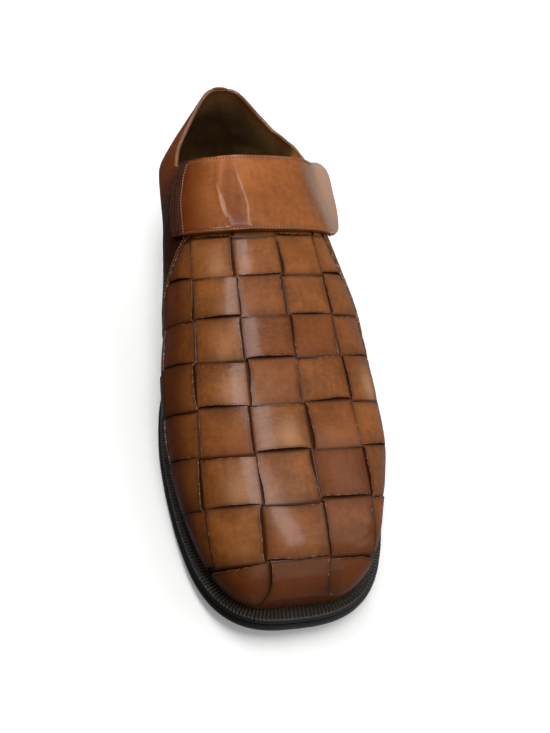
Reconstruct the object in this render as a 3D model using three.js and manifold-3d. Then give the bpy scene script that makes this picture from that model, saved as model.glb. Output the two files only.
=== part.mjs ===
// Woven leather strap shoe for the left foot, in millimetres.
// +X points to the outer side of the foot, the toe points along -Y, +Z is up and the shoe stands on z = 0.
// Every form is worked out from one last: plain sections across the foot, set along its length.
import * as THREE from "three";
import { mergeVertices } from "three/addons/utils/BufferGeometryUtils.js";
import Module from "manifold-3d";

const wasm = await Module();
wasm.setup();

// Driving dimensions
const LENGTH = 303; // outsole, back of the heel to tip of the toe
const BALL_WIDTH = 110; // outsole across the ball
const INSTEP = 98; // top of the instep under the strap's back edge, above the floor
const BACK_HEIGHT = 91; // collar at the back of the heel, above the floor
const HEEL_HEIGHT = 24; // heel block
const TOE_SPRING = 7; // lift of the outsole at the toe

// Thicknesses and gaps
const GAP = 0.3; // between pieces that meet
const WRAP_GAP = 0.55; // under the strap, where two curved faces meet
const OUTSOLE_THICK = 5.6;
const WELT_THICK = 3.2;
const INSOLE_THICK = 5.5;
const WALL = 1.5; // leather and lining of the vamp, under its raised strips
const QUARTER_STEP = 2; // plain side panels stand this proud of the vamp's base
const STRIP_RISE = 1.5; // a woven strip's crown above that base
const STRAP_THICK = 2.6;
const STAY_THICK = 1.2;

// Outsole outline: half widths in percent of the ball width, and the welt's visible width in millimetres,
// at stations in percent of the length from the back of the heel.
const SOLE = [
  { at: 0, medial: 30, lateral: 30.5, welt: 3.2 },
  { at: 12, medial: 30.9, lateral: 31.4, welt: 3.2 },
  { at: 24, medial: 30.5, lateral: 34.5, welt: 3.6 },
  { at: 36, medial: 32.7, lateral: 41.8, welt: 4.5 },
  { at: 47, medial: 38.2, lateral: 48.6, welt: 5.8 },
  { at: 58, medial: 44.4, lateral: 52.5, welt: 7 },
  { at: 66, medial: 45.8, lateral: 54.1, welt: 7.4 },
  { at: 73, medial: 44.9, lateral: 53.6, welt: 7.6 },
  { at: 80, medial: 42.9, lateral: 49.8, welt: 7.8 },
  { at: 87, medial: 41, lateral: 46, welt: 8 },
  { at: 100, medial: 39.5, lateral: 43.5, welt: 8 },
];
const HEEL_ROUND = { reach: 40, power: 2.3 }; // length of the rounded heel end and its squareness
const TOE_ROUND = { reach: 70, power: 2.75 };

// Side faces of the sole's pieces, lowest edge first: how far each line is drawn in from the outline,
// and its height in parts of the piece's thickness
const OUTSOLE_SIDE = [
  { inset: 1.4, up: 0 },
  { inset: 0.3, up: 0.2 },
  { inset: 0, up: 0.6 },
  { inset: 0.5, up: 1 },
];
const HEEL_SIDE = [
  { inset: 2.2, up: 0 },
  { inset: 1.6, up: 0.03 },
  { inset: 1.2, up: 1 },
];
const WELT_SIDE = [
  { inset: 0.8, up: 0 },
  { inset: 0.4, up: 0.45 },
  { inset: 0.9, up: 0.85 },
  { inset: 2, up: 1 },
];
const WELT_LEDGE = 0.8; // the welt reaches this far in past the upper's wall

// Upper sections: outward bulge of the wall on each side and its height above the feather edge, both in
// millimetres, the ridge's height in percent of the instep, its shift to the outer side, how full the
// shoulder is, and how far rows of the weave lean back for each millimetre they drop.
const UPPER = [
  { at: 0, medial: 4.5, lateral: 4.5, bulgeUp: 20, ridge: 108, sway: 0, full: 2.1, lean: 1.2 },
  { at: 12, medial: 5.4, lateral: 5.6, bulgeUp: 22, ridge: 108, sway: 13.5, full: 2.1, lean: 1.2 },
  { at: 20, medial: 6.6, lateral: 6.6, bulgeUp: 22, ridge: 103, sway: 11.5, full: 2.1, lean: 1.2 },
  { at: 26, medial: 7.4, lateral: 6.8, bulgeUp: 22, ridge: 96, sway: 5.5, full: 2.1, lean: 1.2 },
  { at: 32, medial: 8, lateral: 7.4, bulgeUp: 21, ridge: 89.5, sway: 3, full: 2.1, lean: 1.15 },
  { at: 40, medial: 7.8, lateral: 8, bulgeUp: 21, ridge: 81.4, sway: 3, full: 2.1, lean: 1.1 },
  { at: 48, medial: 6.4, lateral: 8.2, bulgeUp: 22, ridge: 75.2, sway: 3, full: 2.1, lean: 1.05 },
  { at: 56, medial: 4.8, lateral: 6.6, bulgeUp: 22, ridge: 69.5, sway: 2.6, full: 2.15, lean: 0.95 },
  { at: 64, medial: 4, lateral: 4.2, bulgeUp: 20, ridge: 64, sway: 2.2, full: 2.2, lean: 0.9 },
  { at: 72, medial: 4, lateral: 3.6, bulgeUp: 18, ridge: 58.2, sway: 1.8, full: 2.25, lean: 0.8 },
  { at: 80, medial: 4, lateral: 3.6, bulgeUp: 16, ridge: 53, sway: 1.6, full: 2.3, lean: 0.8 },
  { at: 88, medial: 3.6, lateral: 3.6, bulgeUp: 14, ridge: 47.5, sway: 1.6, full: 2.35, lean: 0.68 },
  { at: 94, medial: 3.3, lateral: 3.3, bulgeUp: 13, ridge: 43.5, sway: 1.6, full: 2.4, lean: 0.5 },
  { at: 100, medial: 3, lateral: 3, bulgeUp: 12, ridge: 41, sway: 1.6, full: 2.4, lean: 0.3 },
];
const LEAN_DEPTH = 36; // the drop over which that lean dies away
const LEAN_HALVINGS = 13; // steps of the search for a leaned place
const TOE_DROP = { reach: 34, power: 2.5 }; // how the ridge rounds down to the tip
// The heel's back: its bulge and the height of that, its lean above it, and its pinch towards the collar
const HEEL_CURVE = { out: 5.5, peak: 20, lean: 0.1, fade: 70, pinch: 0.42, pinchFade: 66 };
const TOE_OVERHANG = { out: 2, peak: 12, fade: 45 };
const BULGE_SHARE = 0.72; // the bulge's place between the ridge at 0 and the feather edge at 1

// Bottom line of the outsole, stations in millimetres from the back of the heel
const HEEL_BREAST = 72;
const TREAD = { from: 168, to: 214 }; // flat of the forefoot

// Woven vamp: lengthwise strips fan out towards the toe, cross strips have an even pitch along the ridge.
const WEAVE = {
  from: 100, // station where the weave starts, under the strap
  to: 292,
  pitchBack: 21.5,
  pitchToe: 26,
  stripShare: 0.88, // a strip's width in parts of its pitch
  rowPitch: 24,
  toeRow: 2.4, // the row at the toe is longer by this much
  outerStrips: 3, // on each side of the middle one
  crown: 4, // how flat a strip lies before it dives
};
const EDGE = 0.35; // half of the narrow slope at a strip's cut edge
const FEATHER_MARGIN = 7; // band along the feather edge that gathers the outermost strips
const FEATHER_FADE = 8; // the relief runs out over this much above that band
// Lines along a strip's surface, in parts of its half width: fewer on the gentle curves than round the toe
const PLAIN_LINES = [-0.5, 0.5];
const TOE_LINES = [-0.85, -0.7, -0.5, -0.3, -0.1, 0.1, 0.3, 0.5, 0.75];

// Side view: the collar line, which dips further on the outer side, and the front edge of the plain side
// panels, as stations and heights
const COLLAR = [
  { at: -10, medial: BACK_HEIGHT, lateral: BACK_HEIGHT },
  { at: 1, medial: BACK_HEIGHT, lateral: BACK_HEIGHT },
  { at: 10, medial: 87, lateral: 78.5 },
  { at: 18, medial: 83.5, lateral: 73.5 },
  { at: 28, medial: 80, lateral: 74 },
  { at: 40, medial: 75.5, lateral: 77 },
  { at: 52, medial: 74.5, lateral: 79 },
  { at: 64, medial: 82, lateral: 83.5 },
  { at: 76, medial: 92.5, lateral: 92.5 },
  { at: 88, medial: 103.5, lateral: 103.5 },
];
const COLLAR_BLEND = 12; // the two sides' lines run into each other this far on either side of the middle
const QUARTER_EDGE = {
  medial: { top: [108, 78], bow: [128, 50], foot: [148, 10] },
  lateral: { top: [104, 72], bow: [150, 54], foot: [196, 8] },
};
const QUARTER_TO = 215; // station past both front edges
const SEAM = 0.5; // the two side zones run this far past each other at the middle

// Strap: back and front edge at the ridge, its two ends as distances round the instep from the ridge
const STRAP = {
  back: 79,
  front: 122.5,
  rootEnd: 43, // on the inner side
  backCorner: 8,
  frontCorner: 14,
};
// The strap's loose end is bent off the side along a line; its place, length and slope at the two edges
const TAB = {
  back: { bend: 43, length: 11.5, slope: -4 },
  front: { bend: 49, length: 11.5, slope: 30 },
};
const STAY = { topWidth: 13, footWidth: 19, foot: 6 };

const SIDES = { medial: -1, lateral: 1 };

// Smooth curve through a table's column, with flat ends held past the first and last row
function column(table, name, percent) {
  const last = table.length - 1;
  if (percent <= table[0].at) return table[0][name];
  if (percent >= table[last].at) return table[last][name];
  const i = table.findIndex((row) => row.at > percent) - 1;
  const slope = (a, b) => (table[b][name] - table[a][name]) / (table[b].at - table[a].at);
  const tangent = (j) => {
    if (j === 0 || j === last) return slope(Math.max(j - 1, 0), Math.min(j + 1, last));
    const before = slope(j - 1, j);
    const after = slope(j, j + 1);
    return before * after <= 0 ? 0 : (2 * before * after) / (before + after);
  };
  const span = table[i + 1].at - table[i].at;
  const t = (percent - table[i].at) / span;
  const h = t * t * (3 - 2 * t);
  const start = t * (1 - t) * (1 - t) * span * tangent(i);
  const end = t * t * (1 - t) * span * tangent(i + 1);
  return table[i][name] * (1 - h) + table[i + 1][name] * h + start - end;
}

const percentAt = (s) => (100 * s) / LENGTH;
const clamp01 = (t) => Math.min(1, Math.max(0, t));
const smooth = (t) => t * t * (3 - 2 * t);
const mix = (a, b, t) => a + (b - a) * t;
const yAt = (s) => LENGTH / 2 - s;

// Share of the full size left at a rounded end, where e runs from 0 at its start to 1 at the tip
const rounded = (e, power) => (e <= 0 ? 1 : Math.pow(Math.max(0, 1 - Math.pow(e, power)), 1 / power));

// Half width of the sole's outline on one side, drawn in by inset
function outline(side, s, inset) {
  const half = (column(SOLE, side, percentAt(s)) * BALL_WIDTH) / 100 - inset;
  const heel = (HEEL_ROUND.reach - s) / (HEEL_ROUND.reach - inset);
  const toe = (s - (LENGTH - TOE_ROUND.reach)) / (TOE_ROUND.reach - inset);
  return half * rounded(heel, HEEL_ROUND.power) * rounded(toe, TOE_ROUND.power);
}

// Underside of the outsole: heel seat, waist, flat tread and toe spring
function bottomAt(s) {
  const waist = smooth(clamp01((TREAD.from - s) / (TREAD.from - HEEL_BREAST)));
  const spring = clamp01((s - TREAD.to) / (LENGTH - TREAD.to));
  return HEEL_HEIGHT * waist + TOE_SPRING * spring * spring;
}
const outsoleTop = (s) => bottomAt(s) + OUTSOLE_THICK;
const weltTop = (s) => outsoleTop(s) + GAP + WELT_THICK;
const featherAt = (s) => weltTop(s) + GAP;
const weltWidth = (s) => column(SOLE, "welt", percentAt(s));

// A point of the last: station s, side, share t from the ridge at 0 over the bulge to the feather edge at 1,
// grown outwards by grow millimetres.
function lastPoint(s, side, t, grow = 0) {
  const pct = percentAt(s);
  const inset = weltWidth(s) - grow;
  const feather = outline(side, s, inset);
  const low = featherAt(s);
  const tip = (s - (LENGTH - TOE_DROP.reach)) / (TOE_DROP.reach - inset);
  const drop = rounded(tip, TOE_DROP.power);
  const heel = (HEEL_ROUND.reach - s) / (HEEL_ROUND.reach - inset);
  const end = Math.min(drop, rounded(heel, HEEL_ROUND.power));
  const bulge = column(UPPER, side, pct) * end;
  const ridgeUp = ((column(UPPER, "ridge", pct) * INSTEP) / 100 - low + grow) * drop;
  const bulgeUp = Math.min(column(UPPER, "bulgeUp", pct), 0.45 * ridgeUp);
  const sway = column(UPPER, "sway", pct) * drop;
  let out;
  let up;
  if (t < BULGE_SHARE) {
    const angle = (1 - t / BULGE_SHARE) * (Math.PI / 2);
    const power = 2 / column(UPPER, "full", pct);
    const rise = Math.pow(Math.sin(angle), power);
    const pinch = HEEL_CURVE.pinch * rise * smooth(clamp01(1 - s / HEEL_CURVE.pinchFade));
    out = SIDES[side] * (feather + bulge) * (1 - pinch) * Math.pow(Math.cos(angle), power) + sway * rise;
    up = bulgeUp + (ridgeUp - bulgeUp) * rise;
  } else {
    const angle = ((1 - t) / (1 - BULGE_SHARE)) * (Math.PI / 2);
    out = SIDES[side] * (feather + bulge * Math.sin(angle));
    up = bulgeUp * (1 - Math.cos(angle));
  }
  return new THREE.Vector3(out, yAt(s) + endSwell(s, up), low + up);
}

// The heel's back swells out and leans in again towards the collar, and the toe stands over the welt.
function endSwell(s, up) {
  const swell = (peak) => Math.sin((Math.PI / 2) * clamp01(up / peak));
  const heelFade = smooth(clamp01((HEEL_CURVE.fade - s) / HEEL_CURVE.fade));
  const toeFade = smooth(clamp01((s - (LENGTH - TOE_OVERHANG.fade)) / TOE_OVERHANG.fade));
  const leaning = HEEL_CURVE.lean * Math.max(0, up - HEEL_CURVE.peak);
  const overhang = TOE_OVERHANG.out * swell(TOE_OVERHANG.peak);
  return (HEEL_CURVE.out * swell(HEEL_CURVE.peak) - leaning) * heelFade - overhang * toeFade;
}

// Ends of the last along its length when it is grown
const lastBack = (grow) => weltWidth(0) - grow;
const lastTip = (grow) => LENGTH - weltWidth(LENGTH) + grow;

// Distance round the section from the ridge, as shares t at even steps
const SECTION_STEPS = 40;
function sectionLengths(s, side) {
  const lengths = [0];
  let before = lastPoint(s, side, 0);
  for (let i = 1; i <= SECTION_STEPS; i++) {
    const here = lastPoint(s, side, i / SECTION_STEPS);
    lengths.push(lengths[i - 1] + here.distanceTo(before));
    before = here;
  }
  return lengths;
}

// The share t that lies this far round the section, stopped at the feather edge
function shareAt(s, side, distance) {
  const lengths = sectionLengths(s, side);
  if (distance >= lengths[SECTION_STEPS]) return 1;
  const i = lengths.findIndex((d) => d > distance) - 1;
  return (i + (distance - lengths[i]) / (lengths[i + 1] - lengths[i])) / SECTION_STEPS;
}

// Rows of the weave lean back as they go down the side: the station where a row that starts at s on the ridge
// has come this far round.
function leanedStation(s, side, distance) {
  const ridge = lastPoint(s, side, 0).z;
  const lean = column(UPPER, "lean", percentAt(s)) * LEAN_DEPTH;
  let back = s - lean;
  let front = s;
  for (let i = 0; i < LEAN_HALVINGS; i++) {
    const station = (back + front) / 2;
    const drop = ridge - lastPoint(station, side, shareAt(station, side, distance)).z;
    const leaned = s - lean * Math.tanh(Math.max(0, drop) / LEAN_DEPTH);
    if (leaned < station) front = station;
    else back = station;
  }
  return (back + front) / 2;
}

// A point this far round the instep from the ridge, on such a row
function wrapPoint(s, around, grow) {
  const side = around < 0 ? "medial" : "lateral";
  const station = leanedStation(s, side, Math.abs(around));
  return lastPoint(station, side, shareAt(station, side, Math.abs(around)), grow);
}

// The same for the woven wall: columns past the feather edge are gathered in a narrow margin along it,
// and the strips' relief runs out there.
function wovenPoint(s, around, widest, rise) {
  const side = around < 0 ? "medial" : "lateral";
  const station = leanedStation(s, side, Math.abs(around));
  const girth = sectionLengths(station, side).at(-1);
  const margin = Math.min(FEATHER_MARGIN, 0.4 * girth);
  const inside = girth - margin;
  const past = Math.max(0, Math.abs(around) - inside) / Math.max(widest - inside, margin);
  const distance = Math.min(Math.abs(around), inside) + margin * past;
  const fade = clamp01((inside - Math.abs(around)) / FEATHER_FADE);
  return lastPoint(station, side, shareAt(station, side, distance), rise * fade);
}

// Solids

// Closed solid from rings of equal count: sides between the rings, split along their shorter diagonal,
// and a fan over each end that is not a line
function loft(rings) {
  const count = rings[0].length;
  const points = rings.flat();
  const faces = [];
  for (let r = 0; r + 1 < rings.length; r++) {
    for (let i = 0; i < count; i++) {
      const a = r * count + i;
      const b = r * count + ((i + 1) % count);
      const [c, d] = [a + count, b + count];
      const straight = points[a].distanceTo(points[d]) <= points[b].distanceTo(points[c]);
      if (straight) faces.push([a, d, b], [a, c, d]);
      else faces.push([a, c, b], [b, c, d]);
    }
  }
  for (const [r, turned] of [[0, true], [rings.length - 1, false]]) {
    if (rings[r].every((p) => Math.abs(p.x - rings[r][0].x) < 1e-3)) continue;
    const middle = rings[r].reduce((sum, p) => sum.add(p), new THREE.Vector3()).divideScalar(count);
    points.push(middle);
    for (let i = 0; i < count; i++) {
      const a = r * count + i;
      const b = r * count + ((i + 1) % count);
      faces.push(turned ? [a, b, points.length - 1] : [b, a, points.length - 1]);
    }
  }
  const geometry = new THREE.BufferGeometry().setFromPoints(points);
  geometry.setIndex(faces.flat());
  return solidOf(geometry);
}

// A closed geometry as a solid: equal vertices are merged and faces that collapse are dropped
function solidOf(geometry) {
  const bare = new THREE.BufferGeometry().setAttribute("position", geometry.getAttribute("position"));
  bare.setIndex(geometry.index);
  const merged = mergeVertices(bare, 1e-3);
  const index = merged.index.array;
  const triVerts = [];
  for (let i = 0; i < index.length; i += 3) {
    const [a, b, c] = [index[i], index[i + 1], index[i + 2]];
    if (a !== b && b !== c && c !== a) triVerts.push(a, b, c);
  }
  const vertProperties = new Float32Array(merged.attributes.position.array);
  const mesh = new wasm.Mesh({ numProp: 3, vertProperties, triVerts: new Uint32Array(triVerts) });
  return new wasm.Manifold(mesh);
}

function geometryOf(solid) {
  const mesh = solid.getMesh();
  const geometry = new THREE.BufferGeometry();
  geometry.setAttribute("position", new THREE.BufferAttribute(new Float32Array(mesh.vertProperties), 3));
  geometry.setIndex(new THREE.BufferAttribute(new Uint32Array(mesh.triVerts), 1));
  geometry.computeVertexNormals();
  return geometry;
}

// Stations from one end to the other, closer together at both rounded ends
function stations(from, to, count) {
  const share = (i) => (1 - Math.cos((Math.PI * i) / count)) / 2;
  return Array.from({ length: count + 1 }, (_, i) => mix(from, to, share(i)));
}

// Plain body of the last, grown by grow, with its underside deepened by below
function lastBody(from, to, grow, count, below) {
  const shares = [1, 0.93, 0.86, 0.79, 0.72, 0.6, 0.48, 0.36, 0.24, 0.12, 0];
  const rings = stations(from, to, count).map((s) => {
    const up = shares.map((t) => lastPoint(s, "medial", t, grow));
    const down = shares.slice(0, -1).reverse().map((t) => lastPoint(s, "lateral", t, grow));
    const foot = below ? [lowered(down.at(-1), below), lowered(up[0], below)] : [];
    return [...up, ...down, ...foot];
  });
  return loft(rings);
}
const lowered = (p, by) => new THREE.Vector3(p.x, p.y, p.z - by);

// Prism along X over a side-view shape drawn as stations and heights
const HALF_SPAN = 90;
const ABOVE_ALL = 200;
function sidePrism(shape, fromX, toX) {
  const settings = { depth: toX - fromX, bevelEnabled: false, curveSegments: 10 };
  const geometry = new THREE.ExtrudeGeometry(shape, settings);
  const toSide = new THREE.Matrix4().makeBasis(
    new THREE.Vector3(0, -1, 0),
    new THREE.Vector3(0, 0, 1),
    new THREE.Vector3(-1, 0, 0),
  );
  geometry.applyMatrix4(toSide);
  geometry.translate(toX, LENGTH / 2, 0);
  return solidOf(geometry);
}

// Height of the woven wall above its base at a place round the ridge and along the rows
function weavePitch(s) {
  return mix(WEAVE.pitchBack, WEAVE.pitchToe, clamp01((s - WEAVE.from) / (WEAVE.to - WEAVE.from)));
}
function stripHeight(offset, pitch) {
  const reach = pitch * (1 - WEAVE.stripShare / 2);
  return STRIP_RISE * Math.max(0, 1 - Math.pow(Math.abs(offset) / reach, WEAVE.crown));
}
// across and along are in pitches: whole numbers are the middles of lengthwise strips and of rows
function weaveHeight(across, along) {
  const strip = Math.round(across);
  const row = Math.round(along);
  const half = WEAVE.stripShare / 2;
  const onStrip = Math.abs(across - strip) <= half;
  const onRow = Math.abs(along - row) <= half;
  const lengthwiseOver = (strip + row) % 2 === 0;
  const lengthwise = stripHeight(along - row, 1);
  const crosswise = stripHeight(across - strip, 1);
  const nextAcross = stripHeight(1 - Math.abs(across - strip), 1);
  const nextAlong = stripHeight(1 - Math.abs(along - row), 1);
  if (lengthwiseOver) return onStrip ? lengthwise : onRow ? nextAcross : 0;
  return onRow ? crosswise : onStrip ? nextAlong : 0;
}

// Ridge stations at even distances along the ridge line, counted from the toe's tip
function ridgeStations() {
  const fine = stations(WEAVE.from - 10, lastTip(0), 400);
  const walked = [{ s: fine.at(-1), length: 0 }];
  for (let i = fine.length - 2; i >= 0; i--) {
    const step = lastPoint(fine[i], "lateral", 0).distanceTo(lastPoint(fine[i + 1], "lateral", 0));
    walked.push({ s: fine[i], length: walked.at(-1).length + step });
  }
  return walked;
}
const RIDGE = ridgeStations();
function stationAlongRidge(length) {
  const i = RIDGE.findIndex((p) => p.length > length);
  const [a, b] = [RIDGE[Math.max(i, 1) - 1], RIDGE[Math.max(i, 1)]];
  return mix(a.s, b.s, (length - a.length) / (b.length - a.length));
}

// Places across one strip where its surface bends, in pitches from its middle
function stripLines(pitch, between) {
  const half = WEAVE.stripShare / 2;
  const edge = EDGE / pitch;
  return [-half - edge, -half + edge, ...between.map((b) => b * half), half - edge, half + edge];
}

function vampBody() {
  const rowCount = Math.ceil(RIDGE.at(-1).length / WEAVE.rowPitch);
  const rows = [];
  for (let row = 0; row < rowCount; row++) {
    for (const line of stripLines(WEAVE.rowPitch, row === 0 ? TOE_LINES : PLAIN_LINES)) {
      const along = row + line;
      const length = (along + 0.5) * WEAVE.rowPitch + WEAVE.toeRow;
      if (length < RIDGE.at(-1).length) rows.push({ along, s: stationAlongRidge(length) });
    }
  }
  const middlePitch = (WEAVE.pitchBack + WEAVE.pitchToe) / 2;
  const strips = [];
  for (let strip = -WEAVE.outerStrips; strip <= WEAVE.outerStrips; strip++) {
    for (const line of stripLines(middlePitch, PLAIN_LINES)) strips.push(strip + line);
  }
  const edge = WEAVE.outerStrips + 1.5;
  const columns = [-edge, ...strips, edge];
  const tip = lastPoint(lastTip(0), "lateral", 1);
  const rings = [columns.map(() => tip.clone())];
  for (const { along, s } of rows) {
    const pitch = weavePitch(s);
    const rise = (across) => weaveHeight(across, along);
    rings.push(columns.map((across) => wovenPoint(s, across * pitch, edge * pitch, rise(across))));
  }
  return loft(rings.reverse());
}

function collarUp(s, x) {
  const outward = smooth(clamp01((x + COLLAR_BLEND) / (2 * COLLAR_BLEND)));
  return mix(column(COLLAR, "medial", s), column(COLLAR, "lateral", s), outward);
}

// All that lies above the collar line
function collarCut() {
  const across = [-HALF_SPAN, -COLLAR_BLEND, -COLLAR_BLEND / 2, 0, COLLAR_BLEND / 2, COLLAR_BLEND, HALF_SPAN];
  const rings = [];
  for (let s = COLLAR[0].at; s <= COLLAR.at(-1).at; s += 2) {
    const line = across.map((x) => new THREE.Vector3(x, yAt(s), collarUp(s, x)));
    const above = [HALF_SPAN, -HALF_SPAN].map((x) => new THREE.Vector3(x, yAt(s), ABOVE_ALL));
    rings.push([...line, ...above]);
  }
  return loft(rings.reverse());
}

// One side's zone of the plain panels, behind a bowed front edge
function quarterZone(side) {
  const { top, bow, foot } = QUARTER_EDGE[side];
  const shape = new THREE.Shape();
  shape.moveTo(-30, -20);
  shape.lineTo(foot[0] + 6, -20);
  shape.lineTo(...foot);
  shape.quadraticCurveTo(...bow, ...top);
  shape.lineTo(top[0], 220);
  shape.lineTo(-30, 220);
  return side === "medial" ? sidePrism(shape, -HALF_SPAN, SEAM) : sidePrism(shape, -SEAM, HALF_SPAN);
}

function upperSolid() {
  const zones = quarterZone("medial").add(quarterZone("lateral"));
  const quarter = lastBody(lastBack(QUARTER_STEP), QUARTER_TO, QUARTER_STEP, 30, 0).intersect(zones);
  const deepened = OUTSOLE_THICK + WELT_THICK; // past the feather edge everywhere
  const inside = lastBody(lastBack(-WALL), lastTip(-WALL), -WALL, 28, deepened);
  return vampBody().add(quarter).subtract(inside).subtract(collarCut());
}

// Slab inside the sole's outline, from layers of { inset, up }, both functions of the station, lowest first
function slab(layers, to, count) {
  const share = stations(0, 1, count);
  const rings = share.map((u) => {
    const edge = (side) => layers.map(({ inset, up }) => {
      const end = Math.min(to, LENGTH - inset(LENGTH));
      const s = mix(inset(0), end, u);
      const x = u === 0 ? 0 : outline(side, s, inset(s));
      return new THREE.Vector3(SIDES[side] * x, yAt(s), up(s));
    });
    return [...edge("medial"), ...edge("lateral").reverse()];
  });
  return loft(rings);
}

// Layers of a side face from its table, standing on a line of the sole
const sideLayers = (table, line, thick) =>
  table.map(({ inset, up }) => ({ inset: () => inset, up: (s) => line(s) + up * thick }));

function outsoleSolid() {
  return slab(sideLayers(OUTSOLE_SIDE, bottomAt, OUTSOLE_THICK), LENGTH, 40);
}

function heelSolid() {
  const floor = () => 0;
  return slab(sideLayers(HEEL_SIDE, floor, HEEL_HEIGHT - GAP), HEEL_BREAST, 18);
}

// The welt is open inside the line where the upper's wall stands on it; the insole fills that opening.
const weltInner = (extra) => (s) => weltWidth(s) + WALL + WELT_LEDGE + extra;
const aboveOutsole = (s) => outsoleTop(s) + GAP;
function weltSolid() {
  const body = slab(sideLayers(WELT_SIDE, aboveOutsole, WELT_THICK), LENGTH, 40);
  const opening = [
    { inset: weltInner(0), up: (s) => outsoleTop(s) - WELT_THICK },
    { inset: weltInner(0), up: (s) => weltTop(s) + WELT_THICK },
  ];
  return body.subtract(slab(opening, LENGTH, 40));
}

function insoleSolid() {
  const layers = [
    { inset: weltInner(GAP), up: aboveOutsole },
    { inset: weltInner(GAP), up: (s) => aboveOutsole(s) + INSOLE_THICK },
  ];
  return slab(layers, LENGTH, 36);
}

// The strap follows the last from its root on the inner side to the bend; its rounded end stands off there.
function strapSolid() {
  const across = [0, 0.05, 0.2, 0.4, 0.6, 0.8, 0.95, 1];
  const under = QUARTER_STEP + WRAP_GAP;
  const ring = (along, out) => {
    const rounding = (radius) => {
      const within = Math.max(0, radius - (1 - out) * TAB.front.length);
      return radius - Math.sqrt(radius ** 2 - within ** 2);
    };
    const points = across.map((b) => {
      const tab = (name) => mix(TAB.back[name], TAB.front[name], smooth(b));
      const s = mix(STRAP.back + rounding(STRAP.backCorner), STRAP.front - rounding(STRAP.frontCorner), b);
      const around = mix(-STRAP.rootEnd, tab("bend"), along);
      const inner = wrapPoint(s, around, under);
      const outer = wrapPoint(s, around, under + STRAP_THICK);
      const slope = THREE.MathUtils.degToRad(tab("slope"));
      const away = new THREE.Vector3(Math.cos(slope), 0, -Math.sin(slope));
      const normal = new THREE.Vector3(Math.sin(slope), 0, Math.cos(slope)).multiplyScalar(STRAP_THICK);
      const thick = outer.sub(inner).lerp(normal, smooth(clamp01(3 * out)));
      inner.addScaledVector(away, out * tab("length"));
      return { inner, outer: inner.clone().add(thick) };
    });
    return [...points.map((p) => p.outer).reverse(), ...points.map((p) => p.inner)];
  };
  const wrapped = Array.from({ length: 21 }, (_, i) => ring(i / 20, 0));
  const loose = [0.12, 0.25, 0.4, 0.55, 0.7, 0.83, 0.93, 0.98, 1].map((out) => ring(1, out));
  return loft([...wrapped, ...loose]);
}

// A point on the heel's back, this far round from its middle line
function backPoint(t, around, grow) {
  const side = around < 0 ? "medial" : "lateral";
  let s = lastBack(grow);
  let here = lastPoint(s, side, t, grow);
  let left = Math.abs(around);
  while (left > 0) {
    const next = lastPoint(s + 0.1, side, t, grow);
    const step = Math.hypot(next.x - here.x, next.y - here.y);
    if (step >= left) return here.lerp(next, left / step);
    left -= step;
    s += 0.1;
    here = next;
  }
  return here;
}

// Share t of the last at this height on the heel's middle line
function backShare(height, grow) {
  let [low, high] = [0, 1];
  for (let i = 0; i < 30; i++) {
    const t = (low + high) / 2;
    if (lastPoint(lastBack(grow), "lateral", t, grow).z > height) low = t;
    else high = t;
  }
  return low;
}

function staySolid() {
  const under = QUARTER_STEP + GAP;
  const foot = featherAt(0) + STAY.foot;
  const rings = [];
  const steps = 12;
  for (let i = 0; i <= steps; i++) {
    const height = mix(foot, BACK_HEIGHT, i / steps);
    const half = mix(STAY.footWidth, STAY.topWidth, i / steps) / 2;
    const across = [-1, -0.5, 0, 0.5, 1].map((b) => b * half);
    const edge = (grow) => across.map((d) => backPoint(backShare(height, grow), d, grow));
    rings.push([...edge(under + STAY_THICK), ...edge(under).reverse()]);
  }
  return loft(rings);
}

// Assembly
function leather(color, roughness) {
  return new THREE.MeshStandardMaterial({ color, roughness, metalness: 0 });
}

const shoe = new THREE.Group();
function addPiece(name, solid, material) {
  const mesh = new THREE.Mesh(geometryOf(solid), material);
  mesh.name = name;
  shoe.add(mesh);
}

addPiece("outsole", outsoleSolid(), leather(0x1f1a16, 0.6));
addPiece("heel", heelSolid(), leather(0x1f1a16, 0.6));
addPiece("welt", weltSolid(), leather(0x3b2c20, 0.55));
addPiece("insole", insoleSolid(), leather(0x6b5138, 0.7));
addPiece("upper", upperSolid(), leather(0x8a5a33, 0.45));
addPiece("strap", strapSolid(), leather(0x8f5d34, 0.42));
addPiece("backstay", staySolid(), leather(0x7a4a2a, 0.45));

// The origin is the middle of the box at its bottom.
const box = new THREE.Box3().setFromObject(shoe);
const middle = box.getCenter(new THREE.Vector3());
for (const mesh of shoe.children) mesh.geometry.translate(-middle.x, -middle.y, -box.min.z);

export default shoe;
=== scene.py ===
"""A left shoe with a woven vamp and an instep strap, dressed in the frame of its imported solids."""
import math
from contextlib import contextmanager
from types import SimpleNamespace as Sizes

import bpy
import numpy as np
from mathutils import Matrix, Vector


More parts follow.
